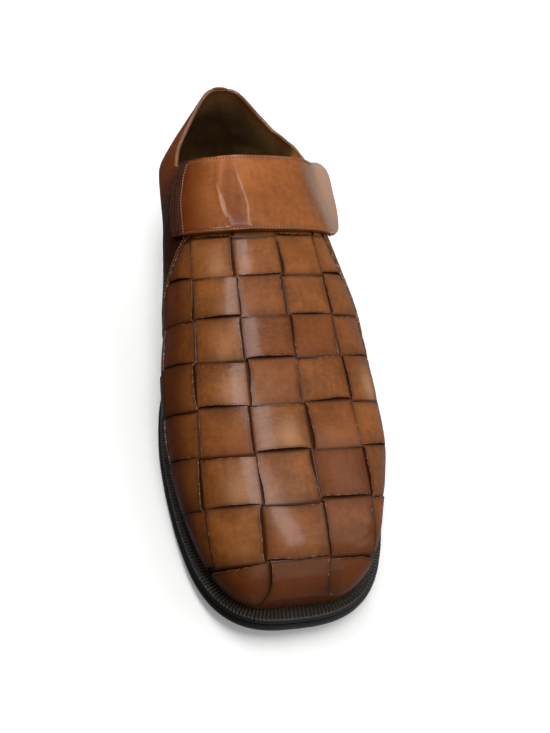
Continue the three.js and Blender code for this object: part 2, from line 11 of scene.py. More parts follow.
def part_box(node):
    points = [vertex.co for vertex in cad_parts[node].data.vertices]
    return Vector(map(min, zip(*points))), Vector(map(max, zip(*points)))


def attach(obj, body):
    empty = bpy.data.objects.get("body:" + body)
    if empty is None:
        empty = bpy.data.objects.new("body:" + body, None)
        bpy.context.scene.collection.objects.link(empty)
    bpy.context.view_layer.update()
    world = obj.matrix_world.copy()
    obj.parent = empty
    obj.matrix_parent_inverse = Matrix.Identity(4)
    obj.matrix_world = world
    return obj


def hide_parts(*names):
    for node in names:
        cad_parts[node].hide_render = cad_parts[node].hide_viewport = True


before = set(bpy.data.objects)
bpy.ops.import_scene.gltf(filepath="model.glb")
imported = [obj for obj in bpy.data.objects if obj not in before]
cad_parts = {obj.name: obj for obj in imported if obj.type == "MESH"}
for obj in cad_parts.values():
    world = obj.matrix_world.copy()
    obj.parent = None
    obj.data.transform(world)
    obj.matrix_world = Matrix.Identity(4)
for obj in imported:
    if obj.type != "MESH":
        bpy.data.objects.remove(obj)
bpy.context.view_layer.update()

MM = 0.001


def table(names, *rows):
    """Rows of sizes, as one array for each named column."""
    return dict(zip(names.split(), np.array(rows, dtype=float).T))


# Driving sizes of the shoe in millimetres, as its solids have them
LENGTH = 303
BALL_WIDTH = 110
INSTEP = 98
BACK_HEIGHT = 91
HEEL_HEIGHT = 24
TOE_SPRING = 7
GAP = 0.3
OUTSOLE_THICK = 5.6
WELT_THICK = 3.2
INSOLE_THICK = 5.5
QUARTER_STEP = 2

# Outsole half widths in percent of the ball width, and the welt's width, along the length in percent
SOLE = table(
    "at medial lateral welt",
    (0, 30, 30.5, 3.2),
    (12, 30.9, 31.4, 3.2),
    (24, 30.5, 34.5, 3.6),
    (36, 32.7, 41.8, 4.5),
    (47, 38.2, 48.6, 5.8),
    (58, 44.4, 52.5, 7),
    (66, 45.8, 54.1, 7.4),
    (73, 44.9, 53.6, 7.6),
    (80, 42.9, 49.8, 7.8),
    (87, 41, 46, 8),
    (100, 39.5, 43.5, 8),
)
HEEL_ROUND = Sizes(reach=40, power=2.3)
TOE_ROUND = Sizes(reach=70, power=2.75)

# Upper sections: bulge on each side and its height, ridge in percent of the instep, its shift to the outer
# side, how full the shoulder is, and how far rows of the weave lean back as they drop
UPPER = table(
    "at medial lateral bulge_up ridge sway full lean",
    (0, 4.5, 4.5, 20, 108, 0, 2.1, 1.2),
    (12, 5.4, 5.6, 22, 108, 13.5, 2.1, 1.2),
    (20, 6.6, 6.6, 22, 103, 11.5, 2.1, 1.2),
    (26, 7.4, 6.8, 22, 96, 5.5, 2.1, 1.2),
    (32, 8, 7.4, 21, 89.5, 3, 2.1, 1.15),
    (40, 7.8, 8, 21, 81.4, 3, 2.1, 1.1),
    (48, 6.4, 8.2, 22, 75.2, 3, 2.1, 1.05),
    (56, 4.8, 6.6, 22, 69.5, 2.6, 2.15, 0.95),
    (64, 4, 4.2, 20, 64, 2.2, 2.2, 0.9),
    (72, 4, 3.6, 18, 58.2, 1.8, 2.25, 0.8),
    (80, 4, 3.6, 16, 53, 1.6, 2.3, 0.8),
    (88, 3.6, 3.6, 14, 47.5, 1.6, 2.35, 0.68),
    (94, 3.3, 3.3, 13, 43.5, 1.6, 2.4, 0.5),
    (100, 3, 3, 12, 41, 1.6, 2.4, 0.3),
)
LEAN_DEPTH = 36
LEAN_HALVINGS = 13
TOE_DROP = Sizes(reach=34, power=2.5)
HEEL_CURVE = Sizes(out=5.5, peak=20, lean=0.1, fade=70, pinch=0.42, pinch_fade=66)
TOE_OVERHANG = Sizes(out=2, peak=12, fade=45)
BULGE_SHARE = 0.72
BULGE_LIMIT = 0.45
HEEL_BREAST = 72
TREAD = Sizes(start=168, end=214)

# Side view: collar line on each side, and the front edge of the plain quarters as foot, bow and top
COLLAR = table(
    "at medial lateral",
    (-10, BACK_HEIGHT, BACK_HEIGHT),
    (1, BACK_HEIGHT, BACK_HEIGHT),
    (10, 87, 78.5),
    (18, 83.5, 73.5),
    (28, 80, 74),
    (40, 75.5, 77),
    (52, 74.5, 79),
    (64, 82, 83.5),
    (76, 92.5, 92.5),
    (88, 103.5, 103.5),
)
COLLAR_BLEND = 12
QUARTER_EDGE = {
    -1: {"foot": (148, 10), "bow": (128, 50), "top": (108, 78)},
    1: {"foot": (196, 8), "bow": (150, 54), "top": (104, 72)},
}
EDGE_STEPS = 60

# Weave: pitch of the lengthwise strips at the strap and at the toe, pitch of the rows along the ridge
WEAVE = Sizes(start=100, end=292, pitch_back=21.5, pitch_toe=26, row_pitch=24, toe_row=2.4)
OUTER_STRIPS = 3
ROWS = 9
STRIP_WIDTH = 0.91
STRIP_SPREAD = 0.08
STRIP_THICK = 0.7
STRIP_LOW = -0.1
STRIP_LIFT = 1.15
# A strip along the foot lies flat across it, and one across the foot bows over the one below
BOW_ALONG = Sizes(crown=0.3, flat=0.35)
BOW_ACROSS = Sizes(crown=0.65, flat=0)

# Strap: its edges on the ridge, its root, its distance from the last and its leather, thinner than its solid
STRAP = Sizes(back=79, front=122.5, root=43)
STRAP_WIDTH = STRAP.front - STRAP.back
STRAP_UNDER = 2.55
STRAP_THICK = 1.9
# Rounded corners of the strap's loose end: where the rounding starts, from the edge, and what it takes off
BACK_CORNER = Sizes(start=15, off=7.5)
FRONT_CORNER = Sizes(start=21, off=11.3)
# Loose end at the strap's back and front edge: where it bends off the side, its length and its slope
TAB = table("bend length slope", (43, 11.5, -4), (49, 11.5, 30))
STAY = Sizes(top_width=13, foot_width=19, foot=6, thick=1.2)

MEDIAL = -1
LATERAL = 1


# The last: plain sections across the foot, set along its length


def smooth(t):
    return t * t * (3 - 2 * t)


def ramp(value, start, end):
    """0 before start, 1 past end and smooth between them."""
    return smooth(np.clip((value - start) / (end - start), 0, 1))


def mix(a, b, t):
    return a + (b - a) * t


def bell(value, reach):
    """1 at 0, falling to about a third at this reach on both sides."""
    return np.exp(-((value / reach) ** 2))


def unit(vectors):
    return vectors / np.linalg.norm(vectors, axis=-1, keepdims=True)


def close_at_start(count):
    """Shares from 0 to 1 that lie closer together at 0."""
    return 1 - np.cos(np.linspace(0, math.pi / 2, count))


def close_at_ends(count):
    return (1 - np.cos(np.linspace(0, math.pi, count))) / 2


def halved(low, high, goes_on, halvings=30):
    """Closes in on the value between low and high up to which goes_on holds; gives both its sides."""
    for _ in range(halvings):
        middle = (low + high) / 2
        on = goes_on(middle)
        low, high = np.where(on, middle, low), np.where(on, high, middle)
    return low, high


def walked(points):
    """Distance walked along a line of points, from its start."""
    steps = np.linalg.norm(np.diff(points, axis=-2), axis=-1)
    return np.concatenate([np.zeros_like(steps[..., :1]), np.cumsum(steps, axis=-1)], axis=-1)


def line_at(distance, walk, line):
    """Places on a line of points, or of directions, at these distances walked along it."""
    return np.stack([np.interp(distance, walk, axis) for axis in line.T], axis=-1)


def column(rows, name, at):
    """Smooth curve through a column of a table, held past its first and last row."""
    x, y = rows["at"], rows[name]
    slope = np.diff(y) / np.diff(x)
    product = slope[:-1] * slope[1:]
    total = np.where(product > 0, slope[:-1] + slope[1:], 1)
    inner = np.where(product > 0, 2 * product / total, 0)
    tangent = np.concatenate([slope[:1], inner, slope[-1:]])
    at = np.clip(at, x[0], x[-1])
    i = np.clip(np.searchsorted(x, at, side="right") - 1, 0, len(x) - 2)
    span = x[i + 1] - x[i]
    t = (at - x[i]) / span
    bend = t * (1 - t) * span * ((1 - t) * tangent[i] - t * tangent[i + 1])
    return mix(y[i], y[i + 1], smooth(t)) + bend


def by_side(rows, side, percent):
    return np.where(side < 0, column(rows, "medial", percent), column(rows, "lateral", percent))


def rounded(e, power):
    """Share of the full size left at a rounded end, where e is 0 at its start and 1 at the tip."""
    return (1 - np.clip(e, 0, 1) ** power) ** (1 / power)


def outline(side, s, inset):
    """Half width of the sole on one side at a station from the heel's back, drawn in by inset."""
    half = by_side(SOLE, side, 100 * s / LENGTH) * BALL_WIDTH / 100 - inset
    heel = (HEEL_ROUND.reach - s) / (HEEL_ROUND.reach - inset)
    toe = (s - (LENGTH - TOE_ROUND.reach)) / (TOE_ROUND.reach - inset)
    return half * rounded(heel, HEEL_ROUND.power) * rounded(toe, TOE_ROUND.power)


def y_at(s):
    return LENGTH / 2 - s


def station_of(points):
    return LENGTH / 2 - points[..., 1]


def bottom(s):
    """Underside of the outsole: heel seat, waist, flat tread and toe spring."""
    waist = ramp(TREAD.start - s, 0, TREAD.start - HEEL_BREAST)
    spring = np.clip((s - TREAD.end) / (LENGTH - TREAD.end), 0, 1)
    return HEEL_HEIGHT * waist + TOE_SPRING * spring**2


def above_outsole(s):
    return bottom(s) + OUTSOLE_THICK + GAP


def feather(s):
    """Height of the line where the upper meets the welt."""
    return above_outsole(s) + WELT_THICK + GAP


def welt_width(s):
    return column(SOLE, "welt", 100 * s / LENGTH)


def end_swell(s, up):
    """The heel's back swells out and leans in again, and the toe stands over the welt."""
    heel = HEEL_CURVE.out * np.sin(math.pi / 2 * np.clip(up / HEEL_CURVE.peak, 0, 1))
    heel = heel - HEEL_CURVE.lean * np.maximum(0, up - HEEL_CURVE.peak)
    toe = TOE_OVERHANG.out * np.sin(math.pi / 2 * np.clip(up / TOE_OVERHANG.peak, 0, 1))
    heel_fade = ramp(HEEL_CURVE.fade - s, 0, HEEL_CURVE.fade)
    toe_fade = ramp(s, LENGTH - TOE_OVERHANG.fade, LENGTH)
    return heel * heel_fade - toe * toe_fade


def last_point(s, side, t, grow=0.0):
    """A point of the last, from the ridge at t = 0 over the bulge to the feather edge at t = 1."""
    s, side, t, grow = np.broadcast_arrays(*(np.asarray(a, dtype=float) for a in (s, side, t, grow)))
    percent = 100 * s / LENGTH
    inset = welt_width(s) - grow
    half = outline(side, s, inset)
    low = feather(s)
    drop = rounded((s - (LENGTH - TOE_DROP.reach)) / (TOE_DROP.reach - inset), TOE_DROP.power)
    heel = rounded((HEEL_ROUND.reach - s) / (HEEL_ROUND.reach - inset), HEEL_ROUND.power)
    bulge = by_side(UPPER, side, percent) * np.minimum(drop, heel)
    ridge_up = (column(UPPER, "ridge", percent) * INSTEP / 100 - low + grow) * drop
    bulge_up = np.minimum(column(UPPER, "bulge_up", percent), BULGE_LIMIT * ridge_up)
    power = 2 / column(UPPER, "full", percent)
    angle = np.clip(1 - t / BULGE_SHARE, 0, 1) * math.pi / 2
    rise = np.sin(angle) ** power
    pinch = HEEL_CURVE.pinch * rise * ramp(HEEL_CURVE.pinch_fade - s, 0, HEEL_CURVE.pinch_fade)
    over = side * (half + bulge) * (1 - pinch) * np.maximum(0, np.cos(angle)) ** power
    over = over + column(UPPER, "sway", percent) * drop * rise
    tuck = np.clip((1 - t) / (1 - BULGE_SHARE), 0, 1) * math.pi / 2
    x = np.where(t < BULGE_SHARE, over, side * (half + bulge * np.sin(tuck)))
    up = np.where(t < BULGE_SHARE, mix(bulge_up, ridge_up, rise), bulge_up * (1 - np.cos(tuck)))
    return np.stack([x, y_at(s) + end_swell(s, up), low + up], axis=-1)


def last_back(grow):
    return welt_width(0.0) - grow


def last_tip(grow):
    return LENGTH - welt_width(LENGTH) + grow


STATIONS = np.linspace(last_back(0), last_tip(0), 600)
SHARES = np.linspace(0, 1, 41)
GIRTH = {side: walked(last_point(STATIONS[:, None], side, SHARES)) for side in (MEDIAL, LATERAL)}


def section_lengths(s, side):
    """Distance round the section from the ridge at each of the shares."""
    place = np.clip((s - STATIONS[0]) / (STATIONS[1] - STATIONS[0]), 0, len(STATIONS) - 1.001)
    i = place.astype(int)
    between = (place - i)[..., None]
    medial = mix(GIRTH[MEDIAL][i], GIRTH[MEDIAL][i + 1], between)
    lateral = mix(GIRTH[LATERAL][i], GIRTH[LATERAL][i + 1], between)
    return np.where(np.asarray(side)[..., None] < 0, medial, lateral)


def share_at(s, side, distance):
    """The share t that lies this far round the section, stopped at the feather edge."""
    lengths = section_lengths(s, side)
    j = np.clip((lengths <= distance[..., None]).sum(axis=-1) - 1, 0, len(SHARES) - 2)[..., None]
    start = np.take_along_axis(lengths, j, axis=-1)
    end = np.take_along_axis(lengths, j + 1, axis=-1)
    step = np.clip((distance[..., None] - start) / np.maximum(end - start, 1e-9), 0, 1)
    return ((j + step) / (len(SHARES) - 1))[..., 0]


def wrapped(s, around):
    """Station, side and share this far round the instep, on a row that leans back from s on the ridge."""
    side = np.where(around < 0, MEDIAL, LATERAL)
    distance = np.abs(around)
    ridge = last_point(s, side, 0)[..., 2]
    lean = column(UPPER, "lean", 100 * s / LENGTH) * LEAN_DEPTH

    def behind_row(station):
        drop = ridge - last_point(station, side, share_at(station, side, distance))[..., 2]
        return station <= s - lean * np.tanh(np.maximum(0, drop) / LEAN_DEPTH)

    back, front = halved(s - lean, s, behind_row, LEAN_HALVINGS)
    station = (back + front) / 2
    return station, side, share_at(station, side, distance)


def collar_up(points):
    """Height of the collar line over a place; the two sides' lines run into each other at the middle."""
    station = station_of(points)
    outward = ramp(points[..., 0], -COLLAR_BLEND, COLLAR_BLEND)
    return mix(column(COLLAR, "medial", station), column(COLLAR, "lateral", station), outward)


def collar_share(s, side, grow):
    """The share t where the collar line crosses the section, or the ridge where it passes over it."""

    def above_collar(t):
        point = last_point(s, side, t, grow)
        return point[..., 2] > collar_up(point)

    _, high = halved(np.zeros_like(s), np.ones_like(s), above_collar)
    return np.where(high < 1e-6, 0, high)


def behind_edge(points, side):
    """How far a point lies behind the quarter's front edge, along the foot."""
    distance = np.zeros(points.shape[:-1])
    tau = np.linspace(0, 1, EDGE_STEPS)[:, None]
    for name, edge in QUARTER_EDGE.items():
        foot, bow, top = (np.array(edge[part], dtype=float) for part in ("foot", "bow", "top"))
        curve = (1 - tau) ** 2 * foot + 2 * tau * (1 - tau) * bow + tau**2 * top
        here = np.interp(points[..., 2], curve[:, 1], curve[:, 0]) - station_of(points)
        distance = np.where(side == name, here, distance)
    return distance


# Laying sheets in the frame

# How close points are merged, what is too thin to keep and how far a sheet stays off what lies under it, in
# millimetres, and from which angle in degrees an edge is sharp
FORM_MERGE = 0.005
SLAB_MERGE = 0.01
SLIVER = 0.002
SHARP = 50
FACE_GAP = 0.1

packed_low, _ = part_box("outsole")
MIDDLE = np.array(
    [
        -outline(MEDIAL, STATIONS, 0).max() - packed_low.x / MM,
        -LENGTH / 2 - packed_low.y / MM,
        0,
    ]
)


def to_frame(points):
    """From millimetres round the sole's middle line to the frame's metres."""
    return (points - MIDDLE) * MM


def select_only(piece):
    bpy.ops.object.select_all(action="DESELECT")
    piece.select_set(True)
    bpy.context.view_layer.objects.active = piece


def laid_sheet(name, points):
    """A flat grid, laid so that its rows and columns take these places, in millimetres."""
    rows, columns = points.shape[:2]
    bpy.ops.object.select_all(action="DESELECT")
    bpy.ops.mesh.primitive_grid_add(x_subdivisions=columns - 1, y_subdivisions=rows - 1, size=1)
    piece = bpy.context.object
    piece.name = piece.data.name = name
    piece.data.vertices.foreach_set("co", to_frame(points).ravel())
    piece.data.update()
    return piece


def paint(piece, name, values):
    """Writes one number for each point, for a material to read."""
    made = piece.data.attributes.new(name, "FLOAT", "POINT")
    made.data.foreach_set("value", np.ascontiguousarray(values, dtype=float).ravel())


@contextmanager
def editing(piece, chosen="SELECT", by="VERT"):
    """Edit mode on one piece, started with all or none of it selected."""
    select_only(piece)
    bpy.ops.object.mode_set(mode="EDIT")
    bpy.ops.mesh.select_mode(type=by)
    bpy.ops.mesh.select_all(action=chosen)
    yield
    bpy.ops.object.mode_set(mode="OBJECT")


def cut_away(piece, gone):
    """Deletes the faces that lie wholly on the points to go."""
    gone = gone.ravel()
    mesh = piece.data
    chosen = [all(gone[v] for v in face.vertices) for face in mesh.polygons]
    with editing(piece, "DESELECT", "FACE"):
        bpy.ops.object.mode_set(mode="OBJECT")
        mesh.polygons.foreach_set("select", chosen)
        bpy.ops.object.mode_set(mode="EDIT")
        bpy.ops.mesh.delete(type="FACE")
        bpy.ops.mesh.select_all(action="SELECT")
        bpy.ops.mesh.delete_loose()


def sewn_shut(piece, reach):
    """Merges points that lie together."""
    with editing(piece):
        bpy.ops.mesh.remove_doubles(threshold=reach * MM)
        bpy.ops.mesh.dissolve_degenerate(threshold=SLIVER * MM)


def closed_up(piece):
    """Fills a form's open ends and turns its faces outwards."""
    with editing(piece, "DESELECT", "EDGE"):
        bpy.ops.mesh.select_non_manifold()
        piece.update_from_editmode()
        if piece.data.total_edge_sel:
            bpy.ops.mesh.fill()
        bpy.ops.mesh.select_all(action="SELECT")
        bpy.ops.mesh.normals_make_consistent(inside=False)


def with_modifier(piece, kind, **settings):
    """Gives a piece a modifier with these settings, and applies it."""
    select_only(piece)
    modifier = piece.modifiers.new(kind.title(), kind)
    for name, value in settings.items():
        setattr(modifier, name, value)
    bpy.ops.object.modifier_apply(modifier=modifier.name)


def thickened(piece, thick, ease, face, rim):
    """Gives a sheet its thickness below its face, eased edges and two materials, for its face and its rim."""
    piece.data.materials.append(face)
    piece.data.materials.append(rim)
    with_modifier(piece, "SOLIDIFY", thickness=thick * MM, offset=-1, material_offset_rim=1)
    with_modifier(
        piece, "BEVEL", width=ease * MM, segments=2, limit_method="ANGLE", angle_limit=math.radians(SHARP)
    )


def finished(piece, node, material=None, angle=40):
    """The piece rides on the shoe, stands for its solid and takes its finish."""
    select_only(piece)
    bpy.ops.object.shade_smooth_by_angle(angle=math.radians(angle))
    if material:
        piece.data.materials.append(material)
    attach(piece, "root")
    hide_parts(node)


# Materials


def colour(hex_code):
    """An sRGB hex colour as linear red, green, blue and alpha."""
    parts = [int(hex_code[i : i + 2], 16) / 255 for i in (1, 3, 5)]
    return [p / 12.92 if p <= 0.04045 else ((p + 0.055) / 1.055) ** 2.4 for p in parts] + [1]


def add_node(tree, kind, inputs=None, **settings):
    """Adds a shader node with its settings; an input is a value or the socket that it is linked to."""
    made = tree.nodes.new("ShaderNode" + kind)
    for name, value in settings.items():
        setattr(made, name, value)
    for key, value in (inputs or {}).items():
        if isinstance(value, bpy.types.NodeSocket):
            tree.links.new(value, made.inputs[key])
        else:
            made.inputs[key].default_value = value
    return made


def new_material(name, **sockets):
    """A material with its shader's fixed values; gives the material, its nodes and the shader."""
    material = bpy.data.materials.new(name)
    material.use_nodes = True
    shader = material.node_tree.nodes["Principled BSDF"]
    for key, value in sockets.items():
        shader.inputs[key.replace("_", " ").title().replace("Ior", "IOR")].default_value = value
    return material, material.node_tree, shader


def per_mm(size):
    """Scale of a pattern in object coordinates whose marks are this many millimetres apart."""
    return 1 / (size * MM)


def object_place(tree):
    return add_node(tree, "TexCoord").outputs["Object"]


def stretched(tree, place, sizes):
    """A place, scaled so that a pattern's marks are these millimetres apart along each axis."""
    return add_node(tree, "Mapping", {"Vector": place, "Scale": [per_mm(k) for k in sizes]}).outputs[0]


def noise(tree, place, scale, detail, distortion=0.0):
    inputs = {"Vector": place, "Scale": scale, "Detail": detail, "Distortion": distortion}
    return add_node(tree, "TexNoise", inputs).outputs[0]


def cells(tree, place, size):
    return add_node(tree, "TexVoronoi", {"Vector": place, "Scale": per_mm(size)}).outputs[0]


def painted(tree, mark):
    return add_node(tree, "Attribute", attribute_name=mark).outputs["Fac"]


def spread(tree, value, span, to=(0.0, 1.0), kind="LINEAR"):
    """A value between the ends of one span, spread out over another."""
    inputs = {"Value": value, "From Min": span[0], "From Max": span[1], "To Min": to[0], "To Max": to[1]}
    return add_node(tree, "MapRange", inputs, interpolation_type=kind).outputs[0]


def calculated(tree, operation, *values):
    return add_node(tree, "Math", dict(enumerate(values)), operation=operation).outputs[0]


def with_parts(tree, total, *parts):
    """A total to which other values are added, each with its weight."""
    for value, weight in parts:
        total = calculated(tree, "MULTIPLY_ADD", value, weight, total)
    return total


def tinted(tree, share, light, deep, marks):
    """A colour between light and deep, turned to another one by each painted mark."""
    blend = {"data_type": "RGBA"}
    tint = add_node(tree, "Mix", {0: share, 6: colour(light), 7: colour(deep)}, **blend).outputs[2]
    for mark, shade in marks.items():
        tint = add_node(tree, "Mix", {0: painted(tree, mark), 6: tint, 7: colour(shade)}, **blend).outputs[2]
    return tint


def surface(tree, shader, tint, height, strength, deep):
    """Links a shader's colour and the relief of its surface, whose height is in millimetres."""
    tree.links.new(tint, shader.inputs["Base Color"])
    bump = add_node(tree, "Bump", {"Height": height, "Strength": strength, "Distance": deep * MM})
    tree.links.new(bump.outputs[0], shader.inputs["Normal"])


# What painted marks turn calf to: deeper tone, in places painted shade; burnish and painted shade; pale
# fibres and painted highlights; a painted greyish sheen; and dull, dark waxing with painted shade
CALF_MARKS = {"tone": "#5a2606", "burnt": "#200e05", "pale": "#c0916a", "painted_sheen": "#8d7667", "wax_and_shade": "#3a1a06"}
# Calf's patterns by how far apart their marks lie, in millimetres, and what they give to its depth of colour,
# its roughness and its relief
CALF = Sizes(cloud=24, mottle=2.6, streaks=(1.6, 16, 6), lines=(7, 1.5, 1.9), pores=0.9, dents=7)
CALF_DEPTH = Sizes(cloud=0.58, mottle=0.27, streaks=0.15, span=(0.37, 0.63))
CALF_GLOSS = Sizes(span=(0.3, 0.7), roughness=(0.34, 0.5), coat=0.17, specular=0.4)
CALF_RELIEF = Sizes(twist=0.7, trough=0.25, pores=0.05, dents=0.35, strength=0.8, deep=1.4)
GRAIN_DEEP = 0.3


def polished_calf(name, light, deep, coat=0.3):
    """Aniline calf, wiped with a darker waxing and brushed: cloudy cognac, glossy, with fine pores. Painted
    marks make it darker, in places as painted shade, paler with pale fibres and painted highlights, greyish
    with a painted sheen, dull where waxing gathers and in painted shade, or creased in fine lines across the
    foot."""
    material, tree, shader = new_material(
        name, coat_weight=coat, coat_roughness=CALF_GLOSS.coat, specular_ior_level=CALF_GLOSS.specular * coat
    )
    place = object_place(tree)
    mottle = noise(tree, place, per_mm(CALF.mottle), 5)
    streaks = noise(tree, stretched(tree, place, CALF.streaks), 1.0, 2)
    cloud = calculated(tree, "MULTIPLY", noise(tree, place, per_mm(CALF.cloud), 3), CALF_DEPTH.cloud)
    depth = with_parts(tree, cloud, (mottle, CALF_DEPTH.mottle), (streaks, CALF_DEPTH.streaks))
    share = spread(tree, depth, CALF_DEPTH.span, kind="SMOOTHSTEP")
    gloss = spread(tree, mottle, CALF_GLOSS.span, CALF_GLOSS.roughness)
    dull = add_node(tree, "Mix", {0: painted(tree, "wax_and_shade"), 2: gloss, 3: 1.0})
    tree.links.new(dull.outputs[0], shader.inputs["Roughness"])
    lines = noise(tree, stretched(tree, place, CALF.lines), 1.0, 2, CALF_RELIEF.twist)
    trough = calculated(tree, "PINGPONG", lines, CALF_RELIEF.trough)
    wrinkles = calculated(tree, "MULTIPLY", trough, painted(tree, "flex"))
    pores = cells(tree, place, CALF.pores)
    dents = noise(tree, place, per_mm(CALF.dents), 1)
    height = with_parts(tree, wrinkles, (pores, CALF_RELIEF.pores), (dents, CALF_RELIEF.dents))
    tint = tinted(tree, share, light, deep, CALF_MARKS)
    surface(tree, shader, tint, height, CALF_RELIEF.strength, CALF_RELIEF.deep)
    return material


def raw_cut_calf():
    """Raw cut side of calf: dark, which is painted shade on these shadowed sides, with pale fibres standing
    out of it in places.
    """
    material, tree, shader = new_material("raw_cut_calf", roughness=0.75)
    fibres = noise(tree, object_place(tree), per_mm(1.4), 4)
    share = spread(tree, fibres, (0.46, 0.7))
    surface(tree, shader, tinted(tree, share, "#4a2611", "#a87a52", {}), fibres, 0.6, GRAIN_DEEP)
    return material


def unglazed(name, light, deep, roughness, grain, strength, specular=0.5, **marks):
    """Leather, thread or rubber without a glaze: a soft cloudy shade and an even grain. Each painted mark
    turns it to a colour."""
    material, tree, shader = new_material(name, roughness=roughness, specular_ior_level=specular)
    place = object_place(tree)
    share = spread(tree, noise(tree, place, per_mm(14), 4), (0.35, 0.65))
    tint = tinted(tree, share, light, deep, marks)
    surface(tree, shader, tint, cells(tree, place, grain), strength, GRAIN_DEEP)
    return material


INK = "#171412"
calf_strip = polished_calf("polished_calf_strip", "#905527", "#703f16")
calf_quarter = polished_calf("polished_calf_quarter", "#80471b", "#62320f", coat=0.08)
calf_strap = polished_calf("polished_calf_strap", "#8c5124", "#703c15")
raw_edge = raw_cut_calf()
# Lining leather: painted light where its inner side is lit, and painted shade on its front under the weave.
lining_leather = unglazed(
    "lining_leather", "#4d381d", "#362411", 0.8, 1.2, 0.3, 0.1, facing="#c47c42", dark="#3a1d0c"
)
binding_leather = unglazed("binding_leather", "#6f4524", "#573318", 0.5, 1.0, 0.3)
welt_leather = unglazed("stained_welt_leather", "#3e3124", "#281e15", 0.5, 1.2, 0.35, dark=INK)
edge_ink = unglazed("inked_sole_edge", "#1c1816", INK, 0.38, 1.6, 0.25)
heel_rubber = unglazed("moulded_rubber", "#1a1817", "#131211", 0.6, 1.0, 0.3)
thread_tan = unglazed("waxed_tan_thread", "#8f5c33", "#754520", 0.55, 0.5, 0.4)
thread_linen = unglazed("waxed_linen_thread", "#b98b5c", "#93663a", 0.55, 0.5, 0.4)
# Dark thread, and the dark beads of the stitch holes: painted shade in the holes.
dark_thread_and_hole_shade = unglazed("waxed_dark_thread", "#2a1508", "#1f0f05", 0.7, 0.6, 0.2)


# Woven vamp

# The ridge from the tip to under the strap, the distance walked along it and the tip counted in rows
RIDGE = np.linspace(last_tip(0), WEAVE.start - 10, 1500)
RIDGE_WALK = walked(last_point(RIDGE, LATERAL, 0))
TIP_ROW = -0.5 - WEAVE.toe_row / WEAVE.row_pitch
PITCHES = np.array([WEAVE.pitch_back, WEAVE.row_pitch])
# Where strips end: the station under the strap, how far they run on under a quarter, and pitches aside
HIDDEN_END = 106
HIDDEN_MARGIN = 9
SIDE_REACH = OUTER_STRIPS + 1.2
# Near the tip a strip's height is also laid on forwards
TIP_REACH = 24
# A strip's grid: steps by the tip and in a pitch, columns, how much steps gather where it dives and which are
# too near its ends, then what is merged and how its edges are eased
TIP_STEPS = 26
STRIP_STEPS = 30
STRIP_COLUMNS = 19
GATHER = 0.75
END_MARGIN = 0.03
STRIP_MERGE = 0.05
STRIP_EASE = 0.12
# Where a strip dives between two squares, in pitches from a square's middle: it sinks, and is widest
DIVE = Sizes(sink=(0.5, 0.575), wide_at=0.55, wide_reach=0.06)
# What is left of a strip's width at the tip, and of its lift at the toe, by the feather edge and under a
# quarter: a span, the first two in rows and the others in millimetres, and the share left at its start
LESS = Sizes(tip=(TIP_ROW, 0.6, 0.75), toe=(0.5, 2.5, 0.75), feather=(0, 10, 0.7), quarter=(1, -3, 0.4))
# Paint on a strip, as spans and strengths: painted shade over the inner side of the foot, darker towards the
# toe, pale fibres and darker burnish by its cut edges, and painted shade where it dives
STRIP_PAINT = Sizes(
    inner_side=(1.3, 2.1, 0.85),
    toe_end=(0.75, 0.3, 0.75),
    fray=(0.93, 0.985, 1),
    edge=(0.5, 1, 0.25),
    rim=(0.88, 0.97, 0.35),
    slope=(0.22, 0.5, 0.35),
    dive=(0.455, 0.51, 0.55),
)
# Waves of a strip's drift and of its cut edges: size, rate along it, shift by strip and by edge
DRIFT = ((0.02, 1.9, 2.3, 0), (0.012, 4.7, 1.1, 0))
UNEVEN_CUT = ((0.004, 11, 3, 0), (0.002, 23, 7, 2))
# Rates of pale fibres along the cut edges and aside of them, and of the stretches that have them
FIBRES = ((43, 0), (71, 2), (29, -5))
FIBRE_STRETCH = (2.9, 1.3)
FRAY = Sizes(fibres=(0.2, 1.8), stretch=(-0.4, 0.5), strength=0.5)

# Squares whose leather is wrinkled across the foot, darker than the rest or paler with a painted highlight
# streak:
# strip, row, wrinkles, how far behind the square's middle they lie, and shade, which is below 0 where a
# painted highlight streak makes it paler
MARKED = table(
    "strip row flex up shade",
    (-1, 7, 0.08, 0, -0.35),
    (0, 7, 0.15, 0, 0),
    (-1, 6, 0.3, 0, -0.1),
    (1, 6, 0.25, 0, 0.1),
    (-1, 5, 0.06, 0, -0.25),
    (0, 5, 0.55, 0.05, 0.5),
    (1, 5, 0.1, -0.2, 0.45),
    (2, 5, 0.4, 0.1, 0.3),
    (-1, 4, 0.45, 0.25, -0.3),
    (0, 4, 0.03, 0, 0.25),
    (1, 4, 0.15, 0, 0.05),
    (2, 4, 0.1, 0, -0.5),
    (0, 3, 0.4, 0.2, -0.5),
    (1, 3, 0.06, 0, 0.25),
    (-2, 2, 0.05, 0, 0.4),
    (-1, 2, 0.15, 0, -0.4),
    (1, 2, 0.12, 0, 0.6),
    (-1, 1, 0.05, 0, -0.1),
    (0, 1, 0.05, 0, 0.3),
    (1, 1, 0.05, 0, 0.45),
)

# Creases pressed into the weave by wear: both ends, counted in strips and rows, and depth in millimetres
CREASES = table(
    "strip row to_strip to_row deep",
    (0.83, 0.83, 1.45, 0.92, 0.32),
    (1.05, 0.67, 1.42, 0.86, 0.3),
    (-0.23, 3.8, -0.15, 4.04, 0.16),
    (-0.45, 5.2, 0.45, 5.16, 0.16),
    (-0.45, 5.03, 0.42, 4.96, 0.18),
    (-0.4, 4.87, 0.3, 4.84, 0.14),
    (-1.42, 4.25, -0.6, 4.36, 0.18),
    (-1.3, 4.1, -0.75, 4.18, 0.12),
    (-0.45, 3.24, -0.05, 3.3, 0.14),
    (1.6, 5.1, 2.4, 5.14, 0.16),
    (1.6, 4.9, 2.3, 4.95, 0.12),
)
